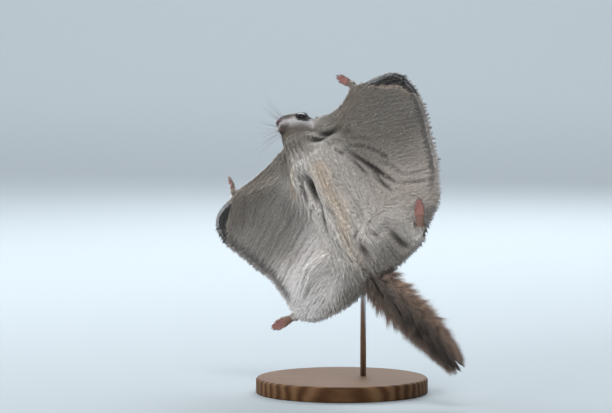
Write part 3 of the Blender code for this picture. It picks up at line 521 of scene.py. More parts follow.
def nearest(points, line):
    """How far each point is from a line of samples, and which sample is the nearest."""
    away, which = np.empty(len(points)), np.empty(len(points), int)
    for start in range(0, len(points), BATCH):
        part = points[start:start + BATCH]
        square = (line ** 2).sum(axis=1)[None] - 2 * part @ line.T
        which[start:start + BATCH] = found = square.argmin(axis=1)
        away[start:start + BATCH] = square[np.arange(len(part)), found] + (part ** 2).sum(axis=1)
    return np.sqrt(np.maximum(away, 0)), which


def smooth(values, low, high):
    """A soft step from 0 at low to 1 at high."""
    t = np.clip((values - low) / (high - low), 0, 1)
    return t * t * (3 - 2 * t)


def ripple(points, wave, seed, count=6):
    """Soft uneven noise between about -1 and 1: a few sine waves that run in random directions."""
    draw = np.random.default_rng(seed)
    ways = unit(draw.normal(size=(count, 3)))
    ways = ways * (2 * math.pi / (wave * draw.uniform(0.7, 1.6, count)))[:, None]
    return np.sin(points @ ways.T + draw.uniform(0, 2 * math.pi, count)).sum(axis=1) / math.sqrt(count)


# Folds and hollows are pressed into the skin: under the right arm, beside the belly, down the left wing,
# behind the jaw and in the groin, each a soft groove with a low ridge beside it.
# Along the underside each groove is also darkened: painted shade, partly the grey underfur where the coat
# parts.
FOLDS = (  # points of the groove as x, y, then its depth, half width and how dark its painted shade lies
    (((28, -1), (20, 4), (14, 4), (7, 3), (-4, 4)), 6.5, 4.2, 1.0),
    (((27, -4), (20, -6), (15, -9), (7, -16)), 4.5, 2.3, 1.0),
    (((24, -2), (17, -3), (10, -5), (4, -8)), 3.0, 1.8, 0.9),
    (((-1, 4), (-10, 5), (-17, 2), (-25, 0), (-31, -2)), 3.0, 2.1, 0.85),
    (((-6, 9), (-20, 12), (-30, 12)), 1.0, 1.4, 0.45),
    (((-3, 0), (-2, -9), (4, -18)), 1.4, 1.4, 0.5),
    (((11, 1), (4, -7), (-2, -15)), 1.2, 1.3, 0.45),
    (((27, 40), (16, 45), (9, 48), (1, 51), (-8, 52), (-17, 52)), 2.5, 1.7, 1.0),
    (((9, 48), (-1, 53), (-8, 56), (-15, 59), (-24, 64)), 2.3, 1.6, 1.0),
    (((32, 33), (25, 37)), 1.6, 1.3, 0.75),
    (((9, 62), (1, 66)), 1.2, 1.7, 0.85),
    (((-7, 49), (-19, 54), (-28, 58)), 2.2, 1.4, 0.85),
    (((28, 45), (22, 53), (15, 59), (10, 62), (1, 68)), 1.6, 1.3, 0.55),
    (((-25, 66), (-33, 79), (-42, 96)), 1.3, 1.5, 0.55),
    (((21, 39), (10, 42), (-2, 44)), 1.6, 1.2, 0.6),
    (((4, 59), (-8, 66), (-22, 73)), 1.3, 1.3, 0.45),
    (((36, 44), (30, 54), (20, 66)), 0.9, 1.3, 0.35),
    (((-20, 71), (-26, 83), (-31, 98)), 0.9, 1.2, 0.35),
    (((59, 31), (54, 28), (49, 33), (46, 39), (45, 46)), 4.8, 2.7, 1.0),
    (((56, 18), (50, 23), (45, 33)), 4.8, 2.5, 1.0),
    (((42, 46), (35, 54)), 0.8, 2.4, 0.45),
    (((-63, 48), (-71, 50), (-79, 52), (-87, 58)), 2.8, 3.2, 0.85),
    (((-56, 35), (-63, 38)), 1.5, 1.7, 0.65),
    (((-47, 24), (-52, 18)), 1.2, 1.5, 0.75),
    (((-57, 19), (-64, 21), (-71, 22)), 1.4, 3.2, 0.75),
    (((60.8, -61.2), (54.9, -80.6), (40.5, -97.2)), 0.5, 2.4, 0.2),
    (((19.2, -40.6), (17.2, -65.1), (10.5, -83.3)), 1.1, 1.5, 0.3),
    (((-3, -32), (-8.5, -52), (-14, -69)), 1.3, 1.5, 0.35),
    (((-20, -28), (-27, -45), (-33, -62)), 1.3, 1.4, 0.45),
    (((8, -26), (4, -47), (-3, -66)), 1.2, 1.3, 0.35),
    (((-23, -31), (-27, -38), (-27, -50)), 1.2, 1.3, 0.6),
    (((-9, -66), (-13, -73), (-18, -83)), 1.2, 1.3, 0.55),
    (((-52, -42), (-56, -49), (-59, -56)), 1.2, 1.4, 0.55),
    (((-30, -40), (-38, -58), (-44, -72)), 1.0, 1.2, 0.4),
)
RIDGE_HIGH, RIDGE_OUT, FOLD_SAMPLES = 0.35, 2.2, 40
trunk_table = np.array(TRUNK, float)


def beside_trunk(points):
    """How far outside the trunk's flank a point is, and on which side."""
    order = np.argsort(trunk_table[:, 0])
    centre = np.interp(points[:, 0], trunk_table[order, 0], trunk_table[order, 1])
    half = np.interp(points[:, 0], trunk_table[order, 0], trunk_table[order, 3])
    return np.abs(points[:, 1] - centre) - half, np.sign(points[:, 1] - centre)


def creases(points, normals):
    """For each point, how far the folds press it in or raise it, how much painted shade they lay there and
    how near one is.

    A groove at distance d is deep * (exp(-(d / wide) ** 2) - 0.35 exp(-((d - 2.2 wide) / wide) ** 2)). The
    membrane moves with both its faces, the trunk only underneath."""
    under = smooth(-normals[:, 2], 0.0, 0.3)
    whole = np.maximum(under, smooth(beside_trunk(points)[0], 3, 9))
    lift, dark, close = np.zeros(len(points)), np.zeros(len(points)), np.zeros(len(points))
    for line, deep, wide, shade in FOLDS:
        flat = along(np.array([(x, y, 0.0) for x, y in line]), even(FOLD_SAMPLES))
        away, which = nearest(points * (1, 1, 0), flat)
        ends_fade = np.sin(math.pi * np.clip(which / (FOLD_SAMPLES - 1), 0.04, 0.96)) ** 0.5
        fade = ends_fade * under
        ridge = RIDGE_HIGH * bell(away - RIDGE_OUT * wide, wide)
        lift += ends_fade * whole * deep * (bell(away, wide) - ridge)
        # Painted shade: the colour darkens along the groove on the underside.
        dark = np.maximum(dark, fade * shade * bell(away, 0.7 * wide + 0.7, 4))
        close = np.maximum(close, ends_fade * whole * shade * bell(away, 1.3 * wide + 3.0, 4))
    return lift, dark, close


# Behind each eye the skin is pushed back off the ball, and the neck is eased into the head.
EYE_CLEAR, NECK_EASING, NECK_STEPS = 0.7, 0.6, 40
in_head = unplaced(skin_points, HEAD)
eye_push = []
for side in (1, -1):
    mirror = np.array((1, side, 1))
    from_eye = in_head - EYE_CENTRE * mirror
    ahead = from_eye @ (EYE_WAY * mirror)
    away = norms(from_eye - ahead[:, None] * EYE_WAY * mirror)
    span = norms(from_eye)
    inside = ((ahead > 0) & (away < LID_ROUND - 0.15)
              & (span > EYE_RADIUS - EYE_CLEAR) & (span < EYE_RADIUS + 2.0))
    in_head[inside] = (EYE_CENTRE * mirror + from_eye[inside]
                       * ((EYE_RADIUS - EYE_CLEAR) / span[inside])[:, None])
    eye_push.append(inside)


def off_eyes(local):
    """How far points of the head are from the nearer eye's middle."""
    return np.minimum(*[norms(local - EYE_CENTRE * (1, sign, 1)) for sign in (1, -1)])


joint = (smooth(in_head[:, 0], 7, 1) * smooth(in_head[:, 0], -26, -16) * smooth(-in_head[:, 2], -0.5, 1.5)
         * (np.abs(in_head[:, 1]) < 22) * (np.abs(in_head[:, 2]) < 24) * smooth(off_eyes(in_head), 6.5, 9.0))
ends = np.vstack([skin_faces[:, :2], skin_faces[:, 1:], skin_faces[:, ::2]])
valence = np.maximum(np.bincount(ends.ravel(), minlength=len(in_head)), 1)
first_end, last_end = ends.T
for _ in range(NECK_STEPS):
    pull = np.zeros_like(in_head)
    for axis in range(3):
        at_first = np.bincount(first_end, in_head[last_end, axis], len(in_head))
        at_last = np.bincount(last_end, in_head[first_end, axis], len(in_head))
        pull[:, axis] = (at_first + at_last) / valence
    in_head = in_head + (pull - in_head) * (NECK_EASING * joint)[:, None]
skin_points = placed(in_head, HEAD)
skin_normals = normals_of(skin_points, skin_faces)
plain_normals = skin_normals
skin_points[:, 2] += creases(skin_points, skin_normals)[0]
skin_normals = normals_of(skin_points, skin_faces)

# The coat's colours. Below: grey-white belly with a cream streak, greyer throat, smoke grey membranes with a
# dark band inside the pale margin, near black at the wingtips beyond a thin cream line. Above: grey-brown.
# Bare pink toes, tan soles and a dark nose.
# Some of these colours are painted light: shade in the folds and the left groin, a paler lit right wing and
# rear webs, a highlight on the right flank, and whitened rims for the light from behind.


def tone(red, green, blue):
    """A colour given as seen on a screen, as light."""
    seen = np.array((red, green, blue)) / 255
    return np.where(seen <= 0.04045, seen / 12.92, ((seen + 0.055) / 1.055) ** 2.4)


BELLY, CREAM, THROAT, TAN = tone(226, 221, 216), tone(224, 205, 184), tone(124, 115, 105), tone(168, 146, 122)
SMOKE, LIT_REAR_WEB, MARGIN = tone(134, 129, 122), tone(230, 219, 212), tone(92, 89, 86)
MARGIN_PALE, HIGHLIGHT_WHITE, TIP_DARK = tone(178, 172, 168), tone(250, 250, 252), tone(36, 36, 38)
BACK, BACK_EDGE, CREASE_SHADE = tone(140, 126, 112), tone(84, 76, 70), tone(44, 43, 42)
CHEEK, CROWN, EYE_RING = tone(230, 228, 229), tone(150, 140, 130), tone(34, 29, 28)
MOUTH_BROWN, NOSE_SKIN = tone(74, 58, 51), tone(92, 70, 74)
SOLE_PINK, SOLE_TAN = tone(178, 128, 122), tone(146, 118, 102)
TAIL_ROOT, TAIL_DARK, TAIL_TIP = tone(112, 102, 95), tone(72, 64, 60), tone(230, 198, 176)

# Lines of colour, as x, y in the animal's axes, with how far each reaches. TIP_DEEP is the depth of the
# wingtips' dark strip. Chin and lip are places in the head's axes, with their reach along each.
CREAM_STREAK, CREAM_STREAK_REACH = ((27, 17.5), (0, 17.3), (-28, 18), (-47, 12), (-78, 12)), 5.6
CREAM_ARMPIT, CREAM_ARMPIT_REACH = ((40, -8), (35, -17), (30, -25)), 4.5
# FLANK_HIGHLIGHT is a painted highlight on the right flank.
FLANK_HIGHLIGHT, FLANK_HIGHLIGHT_REACH = ((-48, -58), (-60, -58), (-68, -56)), 15.0
# GROIN_SHADE is painted shade in the left groin.
GROIN_SHADE, GROIN_SHADE_REACH = ((-63, 21), (-69, 21)), 6.0
TIP_DEEP, CHIN, LIP = 11.2, ((16.0, 0, -7.9), (7.6, 7.6, 4.6)), ((17.6, 0, -4.6), (3.0, 3.6, 1.2))

edge_lines = {side: along(SIDE_EDGE[side], even(160)) for side in SIDES}
tip_lines = {side: np.vstack([along(WINGTIP_EDGE[side], np.linspace(0.25, 1, 60)),
                              along(SIDE_EDGE[side], np.linspace(0, 0.14, 30))]) for side in SIDES}
limb_lines = {(kind, side): along([p[:3] for p in limb[side]], even(50))
              for kind, limb in (("arm", ARM), ("leg", LEG)) for side in SIDES}


def mix(first, second, share):
    """One colour or length going over into another."""
    share = np.asarray(share, float)
    if share.ndim and (3,) in (np.shape(first)[-1:], np.shape(second)[-1:]):
        share = share[:, None]
    return first + (np.asarray(second) - first) * share


def round_paw(local, size, behind, share):
    """Whether points lie in a box round a paw, from so far behind its root, and this share of its size."""
    return ((local[:, 0] > -behind) & (local[:, 0] < size["length"] + 2)
            & (np.abs(local[:, 1]) < size["width"] * share) & (np.abs(local[:, 2]) < size["thick"] * share))


def paw_parts_of(points, normals):
    """How much of a point is paw, how much of it is bare sole, and how much toe."""
    paw, bare, toes = np.zeros(len(points)), np.zeros(len(points)), np.zeros(len(points))
    for (kind, _), pose in paw_poses.items():
        local, facing, size = unplaced(points, pose), normals @ pose[:3, :3], PAW_SIZES[kind]
        here = round_paw(local, size, 1, 0.75) * smooth(local[:, 0], 1, 6)
        paw = np.maximum(paw, here)
        start = 1.0 if kind == "hand" else 4.5
        inside = smooth(np.abs(local[:, 1]) / size["width"], 0.56, 0.42)
        sole = smooth(-facing[:, 2], -0.1, 0.3) * smooth(local[:, 0], start, start + 3)
        bare = np.maximum(bare, here * inside * sole)
        toes = np.maximum(toes, here * smooth(local[:, 0], size["palm"] * 0.45, size["palm"] * 1.15))
    return paw, bare, toes


def on_tail(points):
    """1 on the tail's core, fading out over its root."""
    away, which = nearest(points, along(TAIL, even(60)))
    return smooth(away, 9.5, 8.0) * smooth(which, 1, 5)


def spot(points, line, reach):
    """1 on a line of x, y places, fading to 0 away from it as a bell curve of the given reach."""
    flat = along(np.array([(x, y, 0.0) for x, y in line]), even(50))
    return bell(nearest(points * (1, 1, 0), flat)[0], reach)


def blot(local, place, power):
    """1 at a place of the head, fading to 0 past its reach, which differs along the three axes."""
    middle, reach = place
    return bell(norms((local - middle) / reach), 1, power)


def face_colour(points, local):
    """The head in its own axes: pale cheeks, grey crown, a dark ring round the eye, brown chin and bridge."""
    low = smooth(-local[:, 2] + 0.05 * local[:, 0] + 0.4 * ripple(points, 5, 5), -2.6, -0.4)
    low_edge = -local[:, 2] + 0.25 * np.minimum(local[:, 0] - 6, 0) + 0.6 * ripple(points, 6, 6)
    cheek = mix(CHEEK, THROAT, smooth(low_edge, 1.5, 11.5))
    face = mix(CROWN, cheek, low)
    face = mix(face, MOUTH_BROWN, np.maximum(blot(local, CHIN, 3), 0.7 * blot(local, LIP, 4)))
    bridge = 0.78 * smooth(local[:, 0], 6, 13) * smooth(local[:, 2] + 0.3 * ripple(points, 4, 7), -1.4, 1.0)
    face = mix(face, MOUTH_BROWN, bridge)
    for sign in (1, -1):
        mirror = np.array((1, sign, 1))
        from_eye = (local - EYE_CENTRE * mirror) - EYE_WAY * mirror * 2.4
        corner = norms((local - (EYE_CENTRE + (-5.6, 1.0, 0.4)) * mirror) / (3.0, 3.0, 1.4))
        ring = np.maximum(smooth(norms(from_eye), 6.9, 5.6), smooth(corner, 1.1, 0.7))
        face = mix(face, EYE_RING, ring * (local[:, 1] * sign > 0))
    return face


def belly_colour(points, beyond, side_sign):
    """The underside, without its margins: belly, membranes, cream streak, throat, limbs and groin, with
    painted light and shade.
    """
    web = smooth(beyond, -4, 24)
    rear = smooth(points[:, 0] + 0.15 * beyond + 5 * ripple(points, 38, 8), 24, -26)
    # Painted light: the right membrane is lit paler than the left, and the rear of each membrane paler still,
    # whitened on the right.
    lit_right_side = (side_sign < 0) * 1.0
    smoky = mix(SMOKE, BELLY, 0.2 * lit_right_side)
    below = mix(BELLY, mix(smoky, LIT_REAR_WEB, rear * (0.55 + 0.45 * lit_right_side)), web)
    below = mix(below, HIGHLIGHT_WHITE, 0.5 * rear * lit_right_side * web)
    below = mix(below, CREAM, 0.8 * spot(points, CREAM_STREAK, CREAM_STREAK_REACH))
    below = mix(below, CREAM, 0.6 * spot(points, CREAM_ARMPIT, CREAM_ARMPIT_REACH))
    front = smooth(points[:, 0] + 3 * ripple(points, 22, 9), 34, 58)
    below = mix(below, THROAT, 0.85 * front * (1 - 0.6 * smooth(points[:, 1], 14, 26)))
    last = smooth(points[:, 0] - 0.16 * points[:, 1] + 3 * ripple(points, 20, 10), -62, -82)
    below = mix(below, SMOKE, last)
    for side in SIDES:
        from_leg, from_arm = [nearest(points, limb_lines[kind, side])[0] for kind in ("leg", "arm")]
        below = mix(below, BELLY, 0.7 * bell(from_leg, 15))
        below = mix(below, TAN, 0.22 * bell(from_arm, 6) * web)
    # A painted highlight on the right flank.
    below = mix(below, HIGHLIGHT_WHITE, 0.4 * spot(points, FLANK_HIGHLIGHT, FLANK_HIGHLIGHT_REACH))
    # Painted shade in the left groin.
    return mix(below, TAIL_ROOT, 0.75 * spot(points, GROIN_SHADE, GROIN_SHADE_REACH))


def off_tips(points):
    """How far points are from the wingtips' outline, as 10 at the inner edge of the dark strip.

    The strip is TIP_DEEP * sin(pi s) ** 0.42 deep at share s of its length."""
    away_by = np.full(len(points), 99.0)
    for side in SIDES:
        away, which = nearest(points, tip_lines[side])
        share = which / (len(tip_lines[side]) - 1)
        lens = TIP_DEEP * np.sin(math.pi * np.clip(share, 0.04, 0.985)) ** 0.42
        away_by = np.minimum(away_by, away / lens * 10)
    return away_by


def markings(points, normals):
    """The colour at each point, how bare it is and how much it is head."""
    beyond, side_sign = beside_trunk(points)
    collar = smooth(points[:, 0], 46, 58)
    under = smooth(-normals[:, 2] + 0.5 * collar + 0.06 * ripple(points, 14, 3), -0.25, 0.2)
    below = belly_colour(points, beyond, side_sign)
    edge = np.minimum(*[nearest(points, edge_lines[side])[0] for side in SIDES])
    ragged = 1.1 * ripple(points, 5, 4)
    band = smooth(edge + ragged, 12, 7.5) * smooth(edge + 0.5 * ragged, 2.4, 4.6)
    below = mix(below, MARGIN, 0.8 * (band * smooth(points[:, 0], -62, -30)))
    below = mix(below, MARGIN_PALE, 0.7 * smooth(edge, 2.6, 1.2))
    above = mix(BACK, BACK_EDGE, smooth(beyond, 25, 75))
    tip = off_tips(points)
    below = mix(below, CREAM, 0.6 * bell(tip - 11.2, 1.3))
    below = mix(below, TIP_DARK, smooth(tip + 0.2 * ragged, 10.4, 9.2))
    above = mix(above, TIP_DARK, 0.8 * smooth(tip + ragged, 14, 8))
    colour = mix(above, below, under)
    # Painted shade in the folds, partly the grey underfur showing where the coat parts.
    colour = mix(colour, CREASE_SHADE, creases(points, normals)[1])
    colour = mix(colour, TAIL_DARK, on_tail(points))

    local = unplaced(points, HEAD)
    head = smooth(local[:, 0], -14, -6) * (np.abs(local[:, 1]) < 20) * (np.abs(local[:, 2]) < 16)
    face = mix(face_colour(points, local), THROAT, 0.6 * smooth(local[:, 0], -4, -10))
    colour = mix(colour, face, head)
    nose = (smooth(local[:, 0] + 0.1 * local[:, 2], 16.6, 17.6) * (np.abs(local[:, 1]) < 5)
            * smooth(local[:, 2], -3.0, -2.2))
    colour = mix(colour, NOSE_SKIN, nose)

    paw, bare, toes = paw_parts_of(points, normals)
    colour = mix(colour, THROAT, paw * (1 - bare))
    colour = mix(colour, mix(SOLE_TAN, SOLE_PINK, toes), bare)
    return colour, np.maximum(bare, nose), head


skin_colour, skin_bare, skin_head = markings(skin_points, plain_normals)

# The skin under the coat: dull, with a fine grain, and darker than the hair over it. A material is a graph of
# nodes: Graph makes them, and Wire writes their maths.
UNDER_COAT_DARK, HAIR_GRAIN = 0.62, 420.0


class Wire:
    """A shader socket that takes + and * on either side, each of which adds a Math node."""

    def __init__(self, graph, socket):
        self.graph, self.socket = graph, socket

    def maths(self, operation, first, second):
        """A Math node over two sockets or numbers."""
        return self.graph.wire("ShaderNodeMath", {"operation": operation}, {0: first, 1: second})

    def __add__(self, other):
        return self.maths("ADD", self, other)

    def __mul__(self, other):
        return self.maths("MULTIPLY", self, other)

    __radd__, __rmul__ = __add__, __mul__


class Graph:
    """A material's nodes: node() makes one from its type, settings and the values or links of its sockets."""

    def __init__(self, name):
        self.material = bpy.data.materials.new(name)
        self.material.use_nodes = True
        self.tree = self.material.node_tree
        self.shader = self.tree.nodes["Principled BSDF"]

    def node(self, kind, settings=None, sockets=None, output=0):
        """A node's output, once its settings and then its sockets are set."""
        made = self.tree.nodes.new(kind)
        for key, value in (settings or {}).items():
            if key == "stops":
                ramp = made.color_ramp
                while len(ramp.elements) < len(value):
                    ramp.elements.new(0.5)
                for element, (place, colour) in zip(ramp.elements, value):
                    element.position, element.color = place, (*colour, 1)
            else:
                setattr(made, key, value)
        for key, value in (sockets or {}).items():
            self.feed(made.inputs[key], value)
        return made.outputs[output]

    def feed(self, socket, value):
        """A link into a socket, or the value that it holds."""
        if isinstance(value, Wire):
            value = value.socket
        if isinstance(value, bpy.types.NodeSocket):
            self.tree.links.new(value, socket)
        elif socket.type == "RGBA" and len(value) == 3:
            socket.default_value = (*value, 1)
        else:
            socket.default_value = value

    def wire(self, *args, **kwargs):
        """A node's output, ready for maths."""
        return Wire(self, self.node(*args, **kwargs))

    def blend(self, share, first, second, kind="MIX"):
        """Two colours in one, by a share and in one of the ways of mixing."""
        settings = {"data_type": "RGBA", "blend_type": kind}
        return self.node("ShaderNodeMix", settings, {0: share, 6: first, 7: second}, output=2)

    def finish(self, **inputs):
        """The material, once the shader's inputs are set."""
        for name, value in inputs.items():
            self.feed(self.shader.inputs[name.replace("_", " ")], value)
        return self.material


def noise(graph, scale, detail=2.0, stretch=None):
    """Noise between 0 and 1 over the object, in features one over scale metres wide."""
    where = graph.node("ShaderNodeTexCoord", output=3)
    if stretch:
        where = graph.node("ShaderNodeMapping", {}, {0: where, 3: stretch})
    return graph.wire("ShaderNodeTexNoise", {}, {"Vector": where, "Scale": scale, "Detail": detail})


def coat_material(name, roughness, sheen, shade):
    """Hair: its tint times grain, where grain = 1 - shade + 2 * shade * noise, with a soft sheen."""
    graph = Graph(name)
    colour = graph.node("ShaderNodeAttribute", {"attribute_name": "tint"})
    grain = noise(graph, HAIR_GRAIN) * (2 * shade) + (1 - shade)
    grey = graph.node("ShaderNodeCombineColor", {}, {0: grain, 1: grain, 2: grain})
    return graph.finish(Base_Color=graph.blend(1.0, colour, grey, "MULTIPLY"), Roughness=roughness,
                        Sheen_Weight=sheen, Sheen_Roughness=0.45, Specular_IOR_Level=0.25)


def give(piece, attributes, finish):
    """Colour and other values at a piece's vertices, its material, and its place in the frame."""
    for name, values in attributes.items():
        kind, key = ("FLOAT_COLOR", "color") if np.ndim(values) == 2 else ("FLOAT", "value")
        layer = piece.data.attributes.new(name, kind, "POINT")
        if np.ndim(values) == 2:
            values = np.column_stack([values, np.ones(len(values))])
        layer.data.foreach_set(key, np.asarray(values, np.float32).ravel())
    piece.data.materials.append(finish)
    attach(piece, "root")


skin = new_piece("skin", skin_points, skin_faces)
bpy.context.view_layer.objects.active = skin
skin.select_set(True)
skin.data.uv_layers.new(name="OFBake")
bpy.ops.object.mode_set(mode="EDIT")
bpy.ops.mesh.select_all(action="SELECT")
bpy.ops.uv.smart_project(angle_limit=math.radians(66), island_margin=0.001)
bpy.ops.object.mode_set(mode="OBJECT")
skin_uv = np.empty(len(skin_faces) * 6)
skin.data.uv_layers["OFBake"].data.foreach_get("uv", skin_uv)
skin_uv = skin_uv.reshape(-1, 3, 2)
give(skin, {"tint": skin_colour * UNDER_COAT_DARK},
     coat_material("under_coat", roughness=0.75, sheen=0.0, shade=0.18))
FLESH = ("torso", "neck", "head", "ear", "upper", "forearm", "hand", "thigh", "shank", "foot",
         "front", "main", "rear", "tail")
flesh_nodes = [name for name in frame["nodes"] if name.split("_")[0] in FLESH]
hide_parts(*flesh_nodes)


# The coat: short dense fur as thin curved tufts, each a slim three-sided spike rooted in the skin. They lie
# backward on trunk and throat, outward over the wings, toward the paws on the limbs, and gather into small
# clumps by their tips, so that the coat breaks into soft streaks.
COAT_SEED = 11
LENGTHS = {"trunk": 6.4, "web": 4.3, "limb": 4.2, "face": 1.5, "head": 3.0, "paw": 1.7}
TUFTS_PER_SQUARE_MM, TUFT_WIDTH, TUFT_ROOT_DEEP = 1.31, 0.56, 0.35
TUFT_STEPS, CLUMP, CLUMP_PULL = (0.0, 0.5, 1.0), 2.2, 0.38
ROOT_DARK, TIP_LIGHT, BARE_ROUND_EYE = 0.70, 1.12, 0.15
PATCH = 0.003  # the side of each tuft's patch on the map
chance = np.random.default_rng(COAT_SEED)


def scatter(points, faces, weight, per_area):
    """Random places on triangles, evenly by area times a weight: the triangle, and shares of its corners."""
    corner = points[faces]
    area = norms(np.cross(corner[:, 1] - corner[:, 0], corner[:, 2] - corner[:, 0])) / 2
    amount = area * weight[faces].mean(axis=1) * per_area
    reach = np.cumsum(amount)
    which = np.searchsorted(reach, (np.arange(int(reach[-1])) + chance.uniform(size=int(reach[-1]))))
    which = np.minimum(which, len(faces) - 1)
    u, v = np.sqrt(chance.uniform(size=len(which))), chance.uniform(size=len(which))
    return which, np.stack([1 - u, u * (1 - v), u * v], axis=1)


def at(values, which, shares):
    """Values at corners, read at places inside the triangles."""
    corner = values[skin_faces[which]]
    return (corner * (shares[..., None] if corner.ndim == 3 else shares)).sum(axis=1)


def rooted(weight, per_area):
    """Roots scattered over the skin: how to read values there, places, normals, and places on the map."""
    which, shares = scatter(skin_points, skin_faces, weight, per_area)
    root, normal, plain = [at(values, which, shares) for values in (skin_points, skin_normals, plain_normals)]
    return which, shares, root, unit(normal), unit(plain), (skin_uv[which] * shares[..., None]).sum(axis=1)


def lie_of(points, normals):
    """Which way the coat lies: back on the trunk, outward on the wings, down the limbs, back off the nose."""
    beyond, side_sign = beside_trunk(points)
    web = smooth(beyond, np.where(side_sign > 0, 2, -8), np.where(side_sign > 0, 52, 14))
    out_by = smooth(beyond, 15, 75)
    steep = np.where(side_sign > 0, mix(68.0, 60.0, out_by), mix(80.0, 72.0, out_by))
    angle = np.radians(steep + 8 * ripple(points, 45, 21))
    outward = np.stack([-np.cos(angle), side_sign * np.sin(angle), 0 * angle], axis=1)
    way = mix(np.array((-1.0, 0, 0)), outward, web)
    way = mix(way, np.array((-1.0, 0, 0)), smooth(points[:, 0], -62, -80) * 0.75)
    for (kind, _), line in limb_lines.items():
        away, which = nearest(points, line)
        down = unit(np.gradient(line, axis=0))[which]
        reach = 9 if kind == "leg" else 6
        way = mix(way, down, 0.85 * bell(away, reach) * smooth(which, 6, 20))
    local = unplaced(points, HEAD)
    head = smooth(local[:, 0], -20, -10) * (np.abs(local[:, 1]) < 20) * (np.abs(local[:, 2]) < 17)
    back = -HEAD[:3, 0] + 0.25 * np.sign(local[:, 1])[:, None] * HEAD[:3, 1]
    way = mix(way, back, head)
    for (kind, _), pose in paw_poses.items():
        way = mix(way, pose[:3, 0], round_paw(unplaced(points, pose), PAW_SIZES[kind], 2, 1).astype(float))
    way = way - normals * (way * normals).sum(axis=1)[:, None]
    return unit(way)


def lengths_of(points, head, paw):
    """How long the coat is at each root."""
    beyond = beside_trunk(points)[0]
    long = mix(LENGTHS["trunk"], LENGTHS["web"], smooth(beyond, -4, 16))
    for line in limb_lines.values():
        long = mix(long, LENGTHS["limb"], bell(nearest(points, line)[0], 9))
    local = unplaced(points, HEAD)
    long = mix(long, mix(LENGTHS["head"], LENGTHS["face"], smooth(local[:, 0], -6, 14)), head)
    return mix(long, LENGTHS["paw"], paw)


def streaks(points, ways, wave, reach, seed):
    """Noise drawn out along the coat: fine noise averaged over a stretch of the way the hair lies."""
    total = sum(ripple(points + ways * step, wave, seed, 22) for step in np.linspace(-reach, reach, 7))
    return total / (total.std() + 1e-9)


def cell_centres(points, size, seed):
    """Each point's clump, a cell of a turned grid: the middle of its own points, and a random number."""
    draw = np.random.default_rng(seed)
    turned = points @ np.linalg.qr(draw.normal(size=(3, 3)))[0]
    bent = turned + 0.4 * size * np.stack([ripple(points, 2.6 * size, seed + k) for k in range(3)], axis=1)
    cell = np.floor(bent / size).astype(np.int64)
    code = cell @ np.array((1, 100003, 10000600009))
    keys, index = np.unique(code, return_inverse=True)
    count = np.bincount(index)
    middle = np.stack([np.bincount(index, points[:, k]) / count for k in range(3)], axis=1)
    return middle[index], draw.uniform(-1, 1, len(keys))[index]


def spikes(root, ways, normals, long, wide, rise, steps, clump, pull):
    """Curved three-sided spikes: rings of three points at the given heights, each one's last point its tip.

    A spike at height s stands at root + way * long * s + normal * rise * long * sin(0.55 pi s), its tip drawn
    toward its clump's middle by the share pull, and is wide * (1 - s ** 1.6) across."""
    rings, aside = [], unit(np.cross(ways, normals))
    for s in steps:
        lifted = normals * (rise * long * math.sin(0.55 * math.pi * s))[:, None]
        centre = root + (ways * (long * s)[:, None] + lifted)
        drawn = clump + ways * (long * s)[:, None] + normals * (rise * long * s)[:, None]
        centre = centre + (drawn - centre) * (pull * s ** 1.5)[:, None]
        if s == 0:
            centre = centre - normals * TUFT_ROOT_DEEP
        if s == 1:
            rings.append(centre[:, None])
            continue
        half = (wide * (1 - s ** 1.6) / 2)[:, None]
        edge, ridge = aside * half, normals * half * 0.7
        rings.append(np.stack([centre + edge, centre + ridge, centre - edge], axis=1))
    points = np.concatenate(rings, axis=1)
    faces, spots = [[0, 2, 1]], [[(0.1, 0), (0.9, 0), (0.5, 0)]]
    across = (0.1, 0.5, 0.9)
    for ring in range(len(steps) - 2):
        for k in range(3):
            a, b = ring * 3 + k, ring * 3 + (k + 1) % 3
            low, high = steps[ring], steps[ring + 1]
            faces += [[a, b, b + 3], [a, b + 3, a + 3]]
            left, right = across[k], across[(k + 1) % 3]
            spots += [[(left, low), (right, low), (right, high)], [(left, low), (right, high), (left, high)]]
    last = (len(steps) - 2) * 3
    for k in range(3):
        faces.append([last + k, last + (k + 1) % 3, last + 3])
        spots.append([(across[k], steps[-2]), (across[(k + 1) % 3], steps[-2]), (0.5, 1.0)])
    faces, spots = np.array(faces), np.array(spots)
    step_of = np.concatenate([np.repeat(steps[:-1], 3), steps[-1:]])
    return points, faces, spots, step_of


def coat_pieces(name, made, root_uv, low_colour, tip_colour, finish, most=180000):
    """Spikes laid out as pieces of fewer triangles than the limit, each spike with its patch of the map."""
    points, faces, spots, step_of = made
    each = max(1, most // len(faces))
    for number, start in enumerate(range(0, len(points), each), 1):
        part = points[start:start + each]
        count = len(part)
        all_faces = (faces[None] + np.arange(count)[:, None, None] * points.shape[1]).reshape(-1, 3)
        piece = new_piece(f"{name}_{number}", part.reshape(-1, 3), all_faces)
        patch = root_uv[start:start + each, None, None] + (spots - 0.5)[None] * PATCH
        piece.data.uv_layers.new(name="OFBake").data.foreach_set("uv", patch.astype(np.float32).ravel())
        share = step_of[None, :, None]
        low, tip = low_colour[start:start + each, None], tip_colour[start:start + each, None]
        give(piece, {"tint": (low + (tip - low) * share).reshape(-1, 3)}, finish)


